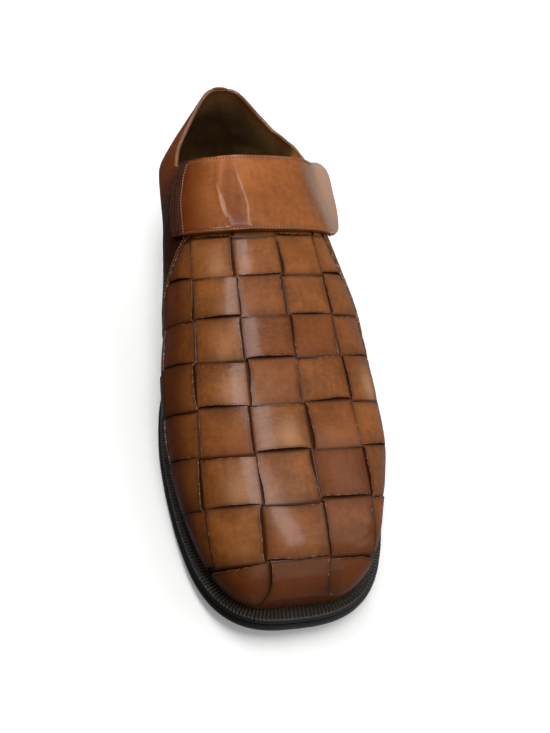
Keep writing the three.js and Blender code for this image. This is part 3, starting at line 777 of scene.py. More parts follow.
# How creases, painted highlight streaks and wrinkles fade out over a square
CREASE = Sizes(reach=1.1, ends=0.15)
HIGHLIGHT_STREAK = Sizes(aside=0.12, reach=0.22, span=(-0.5, 0.2))
WRINKLE = Sizes(reach=0.28, strength=3, calm=0.08, plain=0.1)
# Numbers that scatter the squares' shades, and how far these go
SCATTER = Sizes(strip=12.9898, row=78.233, size=43758.5453)
SCATTER_TONE = Sizes(most=0.3, power=1.5)


def shaded(value, start, end, strength):
    return strength * ramp(value, start, end)


def lessened(value, start, end, left):
    """A share that is left at start and grows to 1 at end."""
    return mix(left, 1, ramp(value, start, end))


def ridge_station(along):
    """Station on the ridge of a place counted in rows, with the toe's row at 0."""
    length = (along + 0.5) * WEAVE.row_pitch + WEAVE.toe_row
    return np.interp(length, RIDGE_WALK, RIDGE)


def row_at(station):
    """The place counted in rows of a station on the ridge."""
    length = np.interp(-station, -RIDGE, RIDGE_WALK)
    return (length - WEAVE.toe_row) / WEAVE.row_pitch - 0.5


def strip_pitch(s):
    share = np.clip((s - WEAVE.start) / (WEAVE.end - WEAVE.start), 0, 1)
    return mix(WEAVE.pitch_back, WEAVE.pitch_toe, share)


def woven_sheet(name, along, across, away, edge, square, bow):
    """A strip laid on the last; away is its distance in pitches from its nearest raised square's middle."""
    s = ridge_station(along)
    around = across * strip_pitch(s) * lessened(along, *LESS.tip)
    station, side, share = wrapped(s, around)
    behind = behind_edge(last_point(station, side, share), side)
    room = section_lengths(station, side)[..., -1] - np.abs(around)
    raised = 1 - ramp(away, *DIVE.sink)
    raised = raised * lessened(room, *LESS.feather) * lessened(along, *LESS.toe)
    crown = np.clip(1 - (2 * away) ** 2, 0, 1)
    top = (STRIP_LIFT + bow.flat * edge**2) * raised + bow.crown * crown - creased(across, along)
    grow = STRIP_LOW + top * lessened(behind, *LESS.quarter)
    points = last_point(station, side, share, grow)
    points[..., 1] -= grow * ramp(station, last_tip(0) - TIP_REACH, last_tip(0))
    piece = laid_sheet(name, points)
    tone, pale, flex = square_marks(*square, across, along)
    # The inner side is darker: painted shade.
    inner_side = shaded(-across, *STRIP_PAINT.inner_side)
    toe_end = shaded(along, *STRIP_PAINT.toe_end)
    paint(piece, "tone", np.maximum.reduce([tone, inner_side, toe_end]))
    # Pale fibres along the cut edges, and painted highlight streaks on the marked squares.
    frayed = frayed_edge(along + across, along - across) * shaded(edge, *STRIP_PAINT.fray)
    paint(piece, "pale", np.maximum(pale, frayed))
    # Darker, duller burnish by the cut edges, and painted shade where the strip dives under its neighbours.
    cut_side = shaded(edge, *STRIP_PAINT.edge) + shaded(edge, *STRIP_PAINT.rim)
    dive = shaded(away, *STRIP_PAINT.slope) + shaded(away, *STRIP_PAINT.dive)
    paint(piece, "wax_and_shade", np.maximum(cut_side * (1 - frayed), dive))
    paint(piece, "flex", flex)
    return piece, (behind > HIDDEN_MARGIN) | (share >= 1)


def frayed_edge(walk, aside):
    """Uneven pale fibres along a strip's cut edges, with stretches that have none."""
    fibres = sum(np.sin(rate * walk + lean * aside) for rate, lean in FIBRES)
    rate, lean = FIBRE_STRETCH
    stretch = np.sin(rate * walk + lean * aside)
    return FRAY.strength * ramp(stretch, *FRAY.stretch) * ramp(fibres, *FRAY.fibres)


def creased(across, along):
    """How deep the creases press the weave in at a place on it."""
    here = np.stack([across, along], axis=-1) * PITCHES
    depth = np.zeros(across.shape)
    for strip, row, to_strip, to_row, deep in zip(*CREASES.values()):
        start = np.array([strip, row]) * PITCHES
        reach = np.array([to_strip, to_row]) * PITCHES - start
        share = np.clip((here - start) @ reach / (reach @ reach), 0, 1)
        aside = np.linalg.norm(here - start - share[..., None] * reach, axis=-1)
        swell = np.sin(math.pi * mix(CREASE.ends, 1 - CREASE.ends, share))
        depth = depth + deep * bell(aside, CREASE.reach) * swell
    return depth


def square_marks(strip, row, across, along):
    """A steady tone for each square, its painted highlight streak and its wrinkles; marked squares are set by
    hand.
    """
    scatter = np.sin(SCATTER.strip * strip + SCATTER.row * row) * SCATTER.size
    tone = SCATTER_TONE.most * np.mod(scatter, 1) ** SCATTER_TONE.power
    pale = np.zeros(tone.shape)
    flex = np.full(tone.shape, WRINKLE.plain)
    for marked_strip, marked_row, wrinkled, up, shade in zip(*MARKED.values()):
        here = (np.round(strip) == marked_strip) & (np.round(row) == marked_row)
        near = bell(along - marked_row - up, WRINKLE.reach)
        streak = bell(across - marked_strip - HIGHLIGHT_STREAK.aside, HIGHLIGHT_STREAK.reach)
        streak = streak * ramp(marked_row - along, *HIGHLIGHT_STREAK.span)
        tone = np.where(here, max(shade, 0), tone)
        pale = np.where(here, max(-shade, 0) * streak, pale)
        flex = np.where(here, WRINKLE.calm + WRINKLE.strength * wrinkled * near, flex)
    return tone, pale, flex


def gathered(start, end):
    """Places from start to end in pitches, closer together where strips dive between two squares."""
    even = np.linspace(start, end, int(STRIP_STEPS * (end - start)))
    middle = np.round(even)
    aside = even - middle
    places = middle + mix(aside, 0.5 * np.sin(math.pi * aside), GATHER)
    inside = (places > start + END_MARGIN) & (places < end - END_MARGIN)
    return np.concatenate([[start], places[inside], [end]])


def strip_width(away):
    """Width of a strip in pitches; it spreads where it dives between two squares."""
    return STRIP_WIDTH + STRIP_SPREAD * bell(away - DIVE.wide_at, DIVE.wide_reach)


def waved(waves, along, strip, half):
    edge = np.sign(half)
    return sum(size * np.sin(rate * along + by * strip + on * edge) for size, rate, by, on in waves)


def wander(along, strip, half):
    """A strip's small drift to the side and the unevenness of its two cut edges, in pitches."""
    cut = waved(UNEVEN_CUT, along, strip, half)
    return waved(DRIFT, along, strip, half) + cut * 2 * np.abs(half)


def lengthwise_strip(strip):
    """A strip along the foot, raised on every second row; outer ones pass under the toe's row."""
    tip = TIP_ROW * (1 - np.linspace(0, 1, TIP_STEPS, endpoint=False) ** 2)
    along = np.concatenate([tip, gathered(0, row_at(HIDDEN_END))])
    along, half = np.broadcast_arrays(along[:, None], close_at_ends(STRIP_COLUMNS) - 0.5)
    parity = strip % 2
    first = parity if abs(strip) < 2 else 2 - parity
    nearest = np.maximum(2 * np.round((along - parity) / 2) + parity, first)
    away = np.abs(np.maximum(along, 0) - nearest)
    across = strip + half * strip_width(away) + wander(along, strip, half)
    name = f"strip_along_{strip + OUTER_STRIPS + 1}"
    square = (np.full(along.shape, strip), nearest)
    return woven_sheet(name, along, across, away, 2 * np.abs(half), square, BOW_ALONG)


def crosswise_strip(row):
    """A strip across the foot, raised on every second strip; the toe's row lies over all outer strips."""
    count = STRIP_COLUMNS if row else 2 * TIP_STEPS
    half = close_at_ends(count)[:, None] - 0.5
    across, half = np.broadcast_arrays(gathered(-SIDE_REACH, SIDE_REACH), half)
    parity = (row + 1) % 2
    nearest = 2 * np.round((across - parity) / 2) + parity
    if row == 0:
        nearest = np.where(np.abs(across) > 1, across, nearest)
    away = np.abs(across - nearest)
    along = row + half * strip_width(away) + wander(across, row + ROWS, half)
    if row == 0:
        along = np.where(half < 0, TIP_ROW * (1 - (1 + 2 * half) ** 2), along)
    square = (nearest, np.full(across.shape, row))
    name = f"strip_across_{row + 1}"
    return woven_sheet(name, along, across, away, 2 * np.abs(half), square, BOW_ACROSS)


def laid_strips():
    """Strips along the foot, then strips across it, each with the points that are to be cut away."""
    for strip in range(-OUTER_STRIPS, OUTER_STRIPS + 1):
        yield lengthwise_strip(strip)
    for row in range(ROWS):
        yield crosswise_strip(row)


for woven, hidden in laid_strips():
    cut_away(woven, hidden)
    sewn_shut(woven, STRIP_MERGE)
    thickened(woven, STRIP_THICK, STRIP_EASE, calf_strip, raw_edge)
    finished(woven, "upper")


# Plain quarters and the back strip

QUARTER = Sizes(thick=1.1, ease=0.35, columns=110, rows=34, edge_from=70.0, edge_to=215.0)
# Paint on a quarter as spans and strengths: darker low down, painted shade on the inner side, and painted
# shade with burnish towards the strap's root
QUARTER_PAINT = Sizes(low=(26, 0, 0.45), inner=(8, 34, 1), root=(45, 75, 0.85))
INNER_SHADE = 0.8
QUARTER_FLEX = 0.04


def wall_point(s, side, up, grow):
    """A place on the upper's wall, from the feather edge where up is 0 to the collar where it is 1."""
    return last_point(s, side, 1 - up * (1 - collar_share(s, side, grow)), grow)


def quarter_points(side, grow):
    """Places on a quarter: columns from the heel's back to its front edge, rows from the feather edge up."""
    rows = QUARTER.rows
    up = np.linspace(0, 1, rows)

    def behind_front(s):
        return behind_edge(wall_point(s, side, up, grow), side) >= 0

    back, front = np.full(rows, QUARTER.edge_from), np.full(rows, QUARTER.edge_to)
    near, _ = halved(back, front, behind_front)
    s = mix(last_back(grow), near[:, None], close_at_start(QUARTER.columns))
    return wall_point(s, side, up[:, None], grow)


QUARTERS = {side: quarter_points(side, QUARTER_STEP) for side in (MEDIAL, LATERAL)}


def quarters():
    both = np.concatenate([QUARTERS[LATERAL][:, ::-1], QUARTERS[MEDIAL][:, 1:]], axis=1)
    piece = laid_sheet("quarters", both)
    station = station_of(both)
    # Darker low down, and painted shade on the inner side.
    low = shaded(both[..., 2] - feather(station), *QUARTER_PAINT.low)
    inner = shaded(-both[..., 0], *QUARTER_PAINT.inner)
    paint(piece, "tone", np.maximum(low, INNER_SHADE * inner))
    # Painted shade and burnish on the inner side towards the strap's root.
    paint(piece, "burnt", inner * shaded(station, *QUARTER_PAINT.root))
    paint(piece, "flex", np.full(station.shape, QUARTER_FLEX))
    return piece


panel = quarters()
thickened(panel, QUARTER.thick, QUARTER.ease, calf_quarter, raw_edge)
finished(panel, "upper")

# The back strip's grid, with its end below the collar and the way round the heel searched, and its rolled top
STAY_GRID = Sizes(rows=60, columns=25, below_collar=1.2, reach=30, steps=400)
STAY_ROLL = Sizes(radius=2.3, turn=2.0, rows=9, corner=1.4, power=2.5, start=BACK_HEIGHT - 6)
STAY_TONE = 0.35
STAY_EASE = 0.3


def back_points(grow):
    """Places on the back strip: rows from its foot to the collar, columns across it from the outer side."""
    rows, columns = STAY_GRID.rows, STAY_GRID.columns
    height = np.linspace(feather(0.0) + STAY.foot, BACK_HEIGHT - STAY_GRID.below_collar, rows)

    def above(share):
        return last_point(last_back(grow), LATERAL, share, grow)[..., 2] > height

    share, _ = halved(np.zeros(rows), np.ones(rows), above)
    width = np.linspace(STAY.foot_width, STAY.top_width, rows)
    across = np.linspace(0.5, -0.5, columns) * width[:, None]
    s = last_back(grow) + STAY_GRID.reach * np.linspace(0, 1, STAY_GRID.steps) ** 2
    points = np.empty((rows, columns, 3))
    for side, chosen in ((LATERAL, across[0] >= 0), (MEDIAL, across[0] < 0)):
        lines = last_point(s, side, share[:, None], grow)
        walk = walked(lines[..., :2])
        for row in range(rows):
            points[row, chosen] = line_at(np.abs(across[row, chosen]), walk[row], lines[row])
    return points


def face_normals(points):
    """Outward directions of a sheet whose rows run from front to back and columns from the inner side."""
    return unit(np.cross(np.gradient(points, axis=1), np.gradient(points, axis=0)))


STAY_POINTS = back_points(QUARTER_STEP + STAY.thick)
STAY_NORMAL = face_normals(STAY_POINTS)


def stay():
    """The back strip, with its top rolled over the collar."""
    outward = unit(STAY_NORMAL[-1] * (1, 1, 0))
    turn = np.linspace(0, STAY_ROLL.turn, STAY_ROLL.rows)[1:, None, None]
    round_edge = outward * (np.cos(turn) - 1) + np.array([0, 0, 1]) * np.sin(turn)
    points = np.concatenate([STAY_POINTS, STAY_POINTS[-1] + STAY_ROLL.radius * round_edge])
    aside = np.abs(np.linspace(-1, 1, points.shape[1])) ** STAY_ROLL.power
    points[..., 2] -= STAY_ROLL.corner * aside * ramp(points[..., 2], STAY_ROLL.start, BACK_HEIGHT)
    piece = laid_sheet("backstay", points)
    paint(piece, "tone", np.full(points.shape[:2], STAY_TONE))
    paint(piece, "flex", np.zeros(points.shape[:2]))
    return piece


back_strip = stay()
thickened(back_strip, STAY.thick - FACE_GAP, STAY_EASE, calf_quarter, calf_quarter)
finished(back_strip, "backstay")


# Lining, insole and collar binding

LINING_GROW = Sizes(low=-1.9, collar=0.2)
LINING = Sizes(thick=0.6, ease=0.15, rows=40, columns=150, merge=0.02, tip_gap=0.3)
# Where the lining comes close to the quarter: up its wall, and behind the strap
NEAR_COLLAR = (0.7, 1)
BEHIND_STRAP = (80, 66)
# Paint on the lining as spans and strengths: painted light on the lit part of its outer side and along its
# top edge, and painted shade on its dark front under the weave
LINING_PAINT = Sizes(lit=(36, 48, 1), outer=(5, 20, 1), top=(0.75, 0.95, 0.1), front=(90, 104, 0.95))


def lining_grow(near_collar):
    return mix(LINING_GROW.low, LINING_GROW.collar, near_collar)


def lining_face(s, side, up):
    """The inner face of the upper; it comes close to the quarter at the collar."""
    return wall_point(s, side, up, lining_grow(ramp(up, *NEAR_COLLAR) * ramp(s, *BEHIND_STRAP)))


def lining():
    up = np.linspace(0, 1, LINING.rows)[:, None]
    back = last_back(lining_grow(ramp(up, *NEAR_COLLAR)))
    front = last_tip(LINING_GROW.low) - LINING.tip_gap
    s, up = np.broadcast_arrays(mix(back, front, close_at_ends(LINING.columns)), up)
    both = np.concatenate([lining_face(s, MEDIAL, up)[:, ::-1], lining_face(s, LATERAL, up)[:, 1:]], axis=1)
    up = np.concatenate([up, up[:, 1:]], axis=1)
    piece = laid_sheet("lining", both)
    station = station_of(both)
    # Painted light on the lit part of the outer side and along the top edge.
    lit = shaded(station, *LINING_PAINT.lit) * shaded(both[..., 0], *LINING_PAINT.outer)
    paint(piece, "facing", np.maximum(lit, shaded(up, *LINING_PAINT.top)))
    # Painted shade on the front, under the weave.
    paint(piece, "dark", shaded(station, *LINING_PAINT.front))
    return piece


inside = lining()
sewn_shut(inside, LINING.merge)
thickened(inside, LINING.thick, LINING.ease, lining_leather, lining_leather)
finished(inside, "upper")

BINDING = Sizes(grow=1.1, sink=0.35, radius=1.05, flat=0.6, to=76, steps=120, sides=12)


def closed_form(name, points, merge, dark=None):
    """A sheet whose last column meets its first, closed to a solid form; dark is what is painted on it."""
    piece = laid_sheet(name, points)
    if dark is not None:
        paint(piece, "dark", dark)
    sewn_shut(piece, merge)
    closed_up(piece)
    return piece


def collar_line(grow):
    """Points along the collar from the strap on the inner side round the heel to the outer side."""
    s = mix(last_back(grow), BINDING.to, close_at_start(BINDING.steps))
    medial, lateral = (wall_point(s, side, 1, grow) for side in (MEDIAL, LATERAL))
    return np.concatenate([medial[::-1], lateral[1:]])


def square_to(vectors, along):
    """Directions made square to the ones along a path."""
    return unit(vectors - (vectors * along).sum(axis=1, keepdims=True) * along)


def binding():
    """A flattened bead along the collar's edge."""
    path = collar_line(BINDING.grow) - (0, 0, BINDING.sink)
    tangent = unit(np.gradient(path, axis=0))
    outward = square_to(collar_line(QUARTER_STEP) - collar_line(LINING_GROW.collar), tangent)
    up = np.cross(tangent, outward) * BINDING.flat
    angle = np.linspace(0, 2 * math.pi, BINDING.sides + 1)[:, None]
    ring = BINDING.radius * (np.cos(angle) * outward[:, None] + np.sin(angle) * up[:, None])
    return closed_form("collar_binding", path[:, None] + ring, FORM_MERGE)


finished(binding(), "upper", binding_leather)


def level(inset, line, up, welts=0):
    """A layer of a slab: inset from the sole's edge or the welt's inner edge, and height over a line."""
    return (lambda s: inset + welts * welt_width(s)), (lambda s: line(s) + up)


def slab(name, layers, to, grid, relief=None):
    """Closed slab in the sole's outline, with its layers from the lowest up; relief lifts its underside."""
    rows, fill = grid
    count = len(layers)
    flat = np.linspace(-1, 1, fill + 2)[1:-1]
    ring = [(0, f) for f in flat] + [(i, 1) for i in range(count)]
    ring += [(count - 1, f) for f in flat[::-1]] + [(i, -1) for i in reversed(range(count))]
    ring.append(ring[0])
    points = np.empty((rows, len(ring), 3))
    for k, (i, share) in enumerate(ring):
        inset, height = layers[i]
        s = mix(inset(0.0), min(to, LENGTH - inset(float(LENGTH))), close_at_ends(rows))
        half = outline(LATERAL if share > 0 else MEDIAL, s, inset(s))
        z = height(s)
        if relief and i == 0:
            z = z + relief(s, half * (1 - abs(share)))
        points[:, k] = np.stack([half * share, y_at(s), z], axis=1)
    return closed_form(name, points, SLAB_MERGE)


# Points along a slab and across its flat faces
SLAB_GRID = (90, 14)
TREAD_GRID = (340, 22)
# Edges of the insole and the outsole, lowest first: inset and height
INSOLE_EDGE = ((2.6, 0), (2.6, 0.8 * INSOLE_THICK), (3.1, INSOLE_THICK))
OUTSOLE_EDGE = (
    (1.4, 0),
    (0.7, 0.35),
    (0.3, 1.1),
    (0.05, 2.2),
    (0, 3.4),
    (0.15, 4.6),
    (0.5, OUTSOLE_THICK),
)

insole_layers = [level(inset, above_outsole, up, 1) for inset, up in INSOLE_EDGE]
insole = slab("insole", insole_layers, LENGTH, SLAB_GRID)
finished(insole, "insole", lining_leather)


# Sole

TREAD_GROOVE = Sizes(pitch=7, deep=0.7, walls=(0.72, 0.86), margin=(8, 10))
TREAD_ENDS = Sizes(back=(172, 178), front=(282, 276))


def tread_grooves(s, from_edge):
    """Shallow grooves across the forefoot, clear of the sole's edge."""
    wave = np.abs(np.mod(s / TREAD_GROOVE.pitch, 1) - 0.5) * 2
    zone = ramp(s, *TREAD_ENDS.back) * ramp(s, *TREAD_ENDS.front)
    zone = zone * ramp(from_edge, *TREAD_GROOVE.margin)
    return TREAD_GROOVE.deep * ramp(wave, *TREAD_GROOVE.walls) * zone


outsole_layers = [level(inset, bottom, up) for inset, up in OUTSOLE_EDGE]
outsole = slab("outsole", outsole_layers, LENGTH, TREAD_GRID, tread_grooves)
finished(outsole, "outsole", edge_ink)

# The heel's lifts, the notches between them, and its edge by the floor and above it
LIFTS = 5
LIFT_NOTCH = Sizes(deep=0.28, half=0.3)
HEEL_FOOT = ((2.2, 0), (1.8, 0.4), (1.6, 0.9))
HEEL_INSET = Sizes(low=1.6, top=1.2)


def heel():
    """Stacked lifts with a notch between them, on a rubber top piece."""
    top = HEEL_HEIGHT - GAP
    edge = list(HEEL_FOOT)
    for i in range(1, LIFTS):
        inset = mix(HEEL_INSET.low, HEEL_INSET.top, i / LIFTS)
        up = i * top / LIFTS
        edge += [(inset, up - LIFT_NOTCH.half), (inset + LIFT_NOTCH.deep, up)]
        edge.append((inset, up + LIFT_NOTCH.half))
    edge.append((HEEL_INSET.top, top))
    layers = [level(inset, np.zeros_like, up) for inset, up in edge]
    return slab("heel", layers, HEEL_BREAST, SLAB_GRID)


finished(heel(), "heel", heel_rubber)

# Ribs across the welt: pitch, rise, steps in a pitch and how dark the troughs between them are
RIB = Sizes(pitch=1.8, rise=0.65, steps=6, dark=0.75)
# The welt's section from its underside outwards, over its top and in to the upper: inset, height as a share
# of its thickness, how ribbed and how dark it is, as ink on its outer edge and painted shade on its wall by
# the upper; the last rows, its wall, are inset from its inner edge
WELT_EDGE = table(
    "inset up ribbed inked",
    (1.0, 0, 0, 1),
    (0.5, 0.15, 0, 1),
    (0.4, 0.45, 0, 1),
    (0.5, 0.75, 0, 1),
    (1.0, 0.93, 0.1, 1),
    (1.7, 1, 0.5, 0.8),
    (2.2, 1, 1, 0),
    (3.2, 1, 1, 0),
    (-0.6, 1, 0.8, 0.8),
    (2.2, 1, 0, 0.8),
    (2.2, 0, 0, 0.8),
)
WELT_WALL = 3
OUTLINE_STEPS = 4000


def outline_path(step):
    """Even steps round the sole from the heel's back along the outer side: place, way outwards and walk."""
    s = close_at_ends(OUTLINE_STEPS) * LENGTH
    outer = np.stack([outline(LATERAL, s, 0), y_at(s)], axis=1)
    inner = np.stack([-outline(MEDIAL, s, 0), y_at(s)], axis=1)[::-1]
    line = np.concatenate([outer, inner[1:]])
    walk = walked(line)
    even = np.linspace(0, walk[-1], int(walk[-1] / step) + 1)
    place = line_at(even, walk, line)
    tangent = np.roll(place[:-1], -1, axis=0) - np.roll(place[:-1], 1, axis=0)
    tangent = unit(np.concatenate([tangent, tangent[:1]]))
    return place, np.stack([-tangent[:, 1], tangent[:, 0]], axis=1), even


def welt():
    """Leather strip with wheeled ribs across its top, from the upper, with painted shade on its wall there,
    to its edge, dark with ink.
    """
    place, outward, walk = outline_path(RIB.pitch / RIB.steps)
    s = station_of(place)
    ribs = np.round(walk[-1] / RIB.pitch)
    trough = 0.5 + 0.5 * np.cos(2 * math.pi * ribs * walk / walk[-1])[:, None]
    inward = np.tile(WELT_EDGE["inset"], (len(s), 1))
    inward[:, -WELT_WALL:] += welt_width(s)[:, None]
    z = above_outsole(s)[:, None] + WELT_EDGE["up"] * WELT_THICK - RIB.rise * WELT_EDGE["ribbed"] * trough
    xy = place[:, None] - outward[:, None] * inward[..., None]
    points = np.concatenate([xy, z[..., None]], axis=2)
    # Ink on the outer edge, darker troughs between the ribs, and painted shade on the wall by the upper.
    dark = np.maximum(WELT_EDGE["inked"], RIB.dark * trough * (WELT_EDGE["ribbed"] > 0))
    points, dark = (np.concatenate([grid, grid[:, :1]], axis=1) for grid in (points, dark))
    return closed_form("welt", points, FORM_MERGE, dark)


finished(welt(), "welt", welt_leather, angle=60)


# Strap

# Two folds that run over the worn strap, as distances from the ridge at shares of its width
FOLDS = table(
    "at inner outer",
    (0, -13.5, -6.5),
    (0.2, -13.8, -5.2),
    (0.45, -14.6, -3),
    (0.6, -14.2, -1.6),
    (0.75, -13.2, -1.2),
    (0.87, -11.6, -1.6),
    (1, -10, -0.8),
)
# The folds' form, the channels that stitches lie in, and the cords under the root
FOLD = Sizes(rise=0.5, reach=2.0, bend=0.24, soft=2.4, fade=11, flat=(0, 4))
# Share of the folds' rise at the strap's edges, as a span of its width and what is left
FOLD_EDGE = (0, 0.3, 0.3)
CHANNEL = Sizes(deep=0.25, reach=0.7, margin=1.4)
CORDS = Sizes(at=(-41.5, -39.3, -37.1), rise=0.55, reach=0.7)
# The strap's grid, how much its rows gather at both edges, and how its edges are eased
STRAP_COLUMNS = 190
STRAP_ROWS = 64
ROW_GATHER = 0.7
STRAP_EASE = 0.5
# Share of the strap where its loose end starts, and the spans round it in which its relief ends and its face
# turns off the side
STRAP_SPLIT = 0.88
RELIEF_END = (-0.04, 0)
FACE_TURN = (0.01, 0.06)
# Where the loose end bends off the side, columns round it are averaged
BEND = Sizes(window=8, passes=3, before=(-34, -16), after=(17, 6))
# Paint on the strap: wrinkles beside the outer fold, painted shade and burnish by the root, painted shade
# between the folds, and a painted greyish sheen on the loose end
STRAP_WRINKLES = Sizes(aside=3, reach=5, over=0.45, over_reach=0.22, strength=0.5, calm=0.05)
STRAP_PAINT = Sizes(root=(12, 34, 1), burnt=(33, 37, 0.75))
FOLD_VALLEY_SHADE = 0.4
TAB_SHEEN = Sizes(back=-0.2, front=-0.08, reach=0.14, strength=0.75)


def corner(rounding, from_edge):
    """How much shorter the loose end is this far from its edge, for a rounded corner."""
    within = np.clip(1 - from_edge / rounding.start, 0, 1)
    return rounding.off * (1 - np.sqrt(1 - within**2))


def strap_base(share, over):
    """Places under the strap, their distances from the ridge and the directions up from its loose end; share
    runs from its root to its loose end, over from its back edge to its front."""
    along = np.clip(share / STRAP_SPLIT, 0, 1)
    out = np.clip((share - STRAP_SPLIT) / (1 - STRAP_SPLIT), 0, 1)

    def tab(name):
        return mix(*TAB[name], smooth(over))

    cut = corner(BACK_CORNER, over * STRAP_WIDTH) + corner(FRONT_CORNER, (1 - over) * STRAP_WIDTH)
    around = mix(-STRAP.root, tab("bend"), along)
    station, side, t = wrapped(mix(STRAP.back, STRAP.front, over), around)
    slope = np.radians(tab("slope"))
    zero = np.zeros_like(slope)
    away = np.stack([np.cos(slope), zero, -np.sin(slope)], axis=-1)
    upward = np.stack([np.sin(slope), zero, np.cos(slope)], axis=-1)
    under = last_point(station, side, t, STRAP_UNDER)
    return under + away * (out * (tab("length") - cut))[..., None], around, upward


def softened(points, bend):
    """Rounds the crease along the column where the loose end bends off the side."""
    columns = np.arange(points.shape[1])
    near = ramp(columns - bend, *BEND.before) * ramp(columns - bend, *BEND.after)
    window = BEND.window
    for _ in range(BEND.passes):
        padded = np.pad(points, ((0, 0), (window, window), (0, 0)), mode="edge")
        total = sum(padded[:, k : k + points.shape[1]] for k in range(2 * window + 1))
        points = mix(points, total / (2 * window + 1), near[None, :, None])
    return points


def from_folds(around, over):
    """Distances outwards from the inner and the outer fold."""
    return [around - column(FOLDS, name, over) for name in ("inner", "outer")]


def strap_relief(around, over):
    """Folds of the worn strap, the channels of its stitches and the cords at its root."""
    inner, outer = from_folds(around, over)
    from_edge = np.minimum(over, 1 - over)
    bent = np.minimum(np.sqrt(outer**2 + FOLD.soft**2), FOLD.fade)
    lift = FOLD.rise * (bell(inner, FOLD.reach) + bell(outer, FOLD.reach))
    lift = lessened(from_edge, *FOLD_EDGE) * (lift + FOLD.bend * (FOLD.fade - bent))
    channel = bell(from_edge * STRAP_WIDTH - CHANNEL.margin, CHANNEL.reach)
    lift = lift - CHANNEL.deep * channel * (around < TAB["bend"][0])
    return lift + CORDS.rise * sum(bell(around - cord, CORDS.reach) for cord in CORDS.at)


def strap_places():
    """Shares along the strap and over it, on a grid whose rows lie closer together at both edges."""
    over = np.linspace(1, 0, STRAP_ROWS)
    return np.meshgrid(np.linspace(0, 1, STRAP_COLUMNS), mix(over, smooth(over), ROW_GATHER))


STRAP_SHARE, STRAP_OVER = strap_places()
under_strap, STRAP_AROUND, tab_upward = strap_base(STRAP_SHARE, STRAP_OVER)
under_strap = softened(under_strap, STRAP_SPLIT * (STRAP_COLUMNS - 1))
STRAP_HELD = 1 - ramp(STRAP_SHARE - STRAP_SPLIT, *RELIEF_END)
turned_face = ramp(STRAP_SHARE - STRAP_SPLIT, *FACE_TURN)[..., None]
STRAP_NORMAL = mix(face_normals(under_strap), tab_upward, turned_face)
raise_by = STRAP_THICK + strap_relief(STRAP_AROUND, STRAP_OVER) * STRAP_HELD
STRAP_FACE = under_strap + STRAP_NORMAL * raise_by[..., None]


def strap():
    piece = laid_sheet("strap", STRAP_FACE)
    inner, outer = from_folds(STRAP_AROUND, STRAP_OVER)
    wrinkled = bell(outer + STRAP_WRINKLES.aside, STRAP_WRINKLES.reach)
    wrinkled = wrinkled * bell(STRAP_OVER - STRAP_WRINKLES.over, STRAP_WRINKLES.over_reach)
    paint(piece, "flex", STRAP_WRINKLES.calm + STRAP_WRINKLES.strength * wrinkled * STRAP_HELD)
    # Darker by the root on the inner side and between the folds: painted shade.
    flat = ramp(inner, *FOLD.flat) * ramp(-outer, *FOLD.flat)
    paint(piece, "tone", shaded(-STRAP_AROUND, *STRAP_PAINT.root) + FOLD_VALLEY_SHADE * flat)
    # Painted shade and burnish at the root.
    paint(piece, "burnt", shaded(-STRAP_AROUND, *STRAP_PAINT.burnt))
    # A painted greyish sheen on the loose end: a painted reflection of the white room.
    painted_sheen = STRAP_SPLIT + mix(TAB_SHEEN.back, TAB_SHEEN.front, STRAP_OVER)
    paint(piece, "painted_sheen", shaded(STRAP_SHARE, painted_sheen, painted_sheen + TAB_SHEEN.reach, TAB_SHEEN.strength))
    return piece


band = strap()
thickened(band, STRAP_THICK - FACE_GAP, STRAP_EASE, calf_strap, calf_strap)
finished(band, "strap")


# Stitches

STITCH_PITCH = 1.8
STITCH_AIM = 0.4
STITCH = Sizes(length=1.05, width=0.45, height=0.35)
HOLE = Sizes(length=0.8, width=0.8, height=0.22)
BEAD_ROUND = 0.3
# Where rows of stitches lie: over the strap from its root to its bend, down its root, on a quarter behind its
# front edge, and on which columns of the back strip
STRAP_ROW = Sizes(start=8.5 - STRAP.root, end=TAB["bend"][0] - 1, steps=200)
ROOT_ROW = Sizes(margin=1, steps=120, after_cord=1.1, seam=-34.4)
QUARTER_STITCH_MARGIN = 2.0
STAY_ROWS = (3, -4)


def pressed_bead(sizes):
    """One stitch or hole, modelled once: a small block with its edges rounded away, as points and faces."""
    bpy.ops.object.select_all(action="DESELECT")
    bpy.ops.mesh.primitive_cube_add(size=1)
    block = bpy.context.object
    with editing(block):
        bpy.ops.mesh.bevel(offset=BEAD_ROUND, segments=2, affect="EDGES")
    size = np.array([sizes.length, sizes.width, sizes.height])
    points = np.array([v.co[:] for v in block.data.vertices]) * size
    faces = [list(face.vertices) for face in block.data.polygons]
    bpy.data.objects.remove(block)
    return points, faces


def repeated(name, form, places, axes):
    """One mesh with a copy of a form at each place, turned to the axes there."""
    points, faces = form
    laid = places[:, None] + np.einsum("vk,nkx->nvx", points, axes)
    copies = [[v + k * len(points) for v in face] for k in range(len(places)) for face in faces]
    mesh = bpy.data.meshes.new(name)
    mesh.from_pydata(to_frame(laid.reshape(-1, 3)).tolist(), [], copies)
    piece = bpy.data.objects.new(name, mesh)
    bpy.context.collection.objects.link(piece)
    return piece


def even_steps(path, normal, first):
    """Places a stitch apart along a path, from a share of a stitch on, with the axes of a stitch there."""
    walk = walked(path)
    at = np.arange(first * STITCH_PITCH, walk[-1], STITCH_PITCH)
    along = unit(line_at(at + STITCH_AIM, walk, path) - line_at(at - STITCH_AIM, walk, path))
    up = square_to(line_at(at, walk, normal), along)
    return line_at(at, walk, path), np.stack([along, np.cross(up, along), up], axis=1)


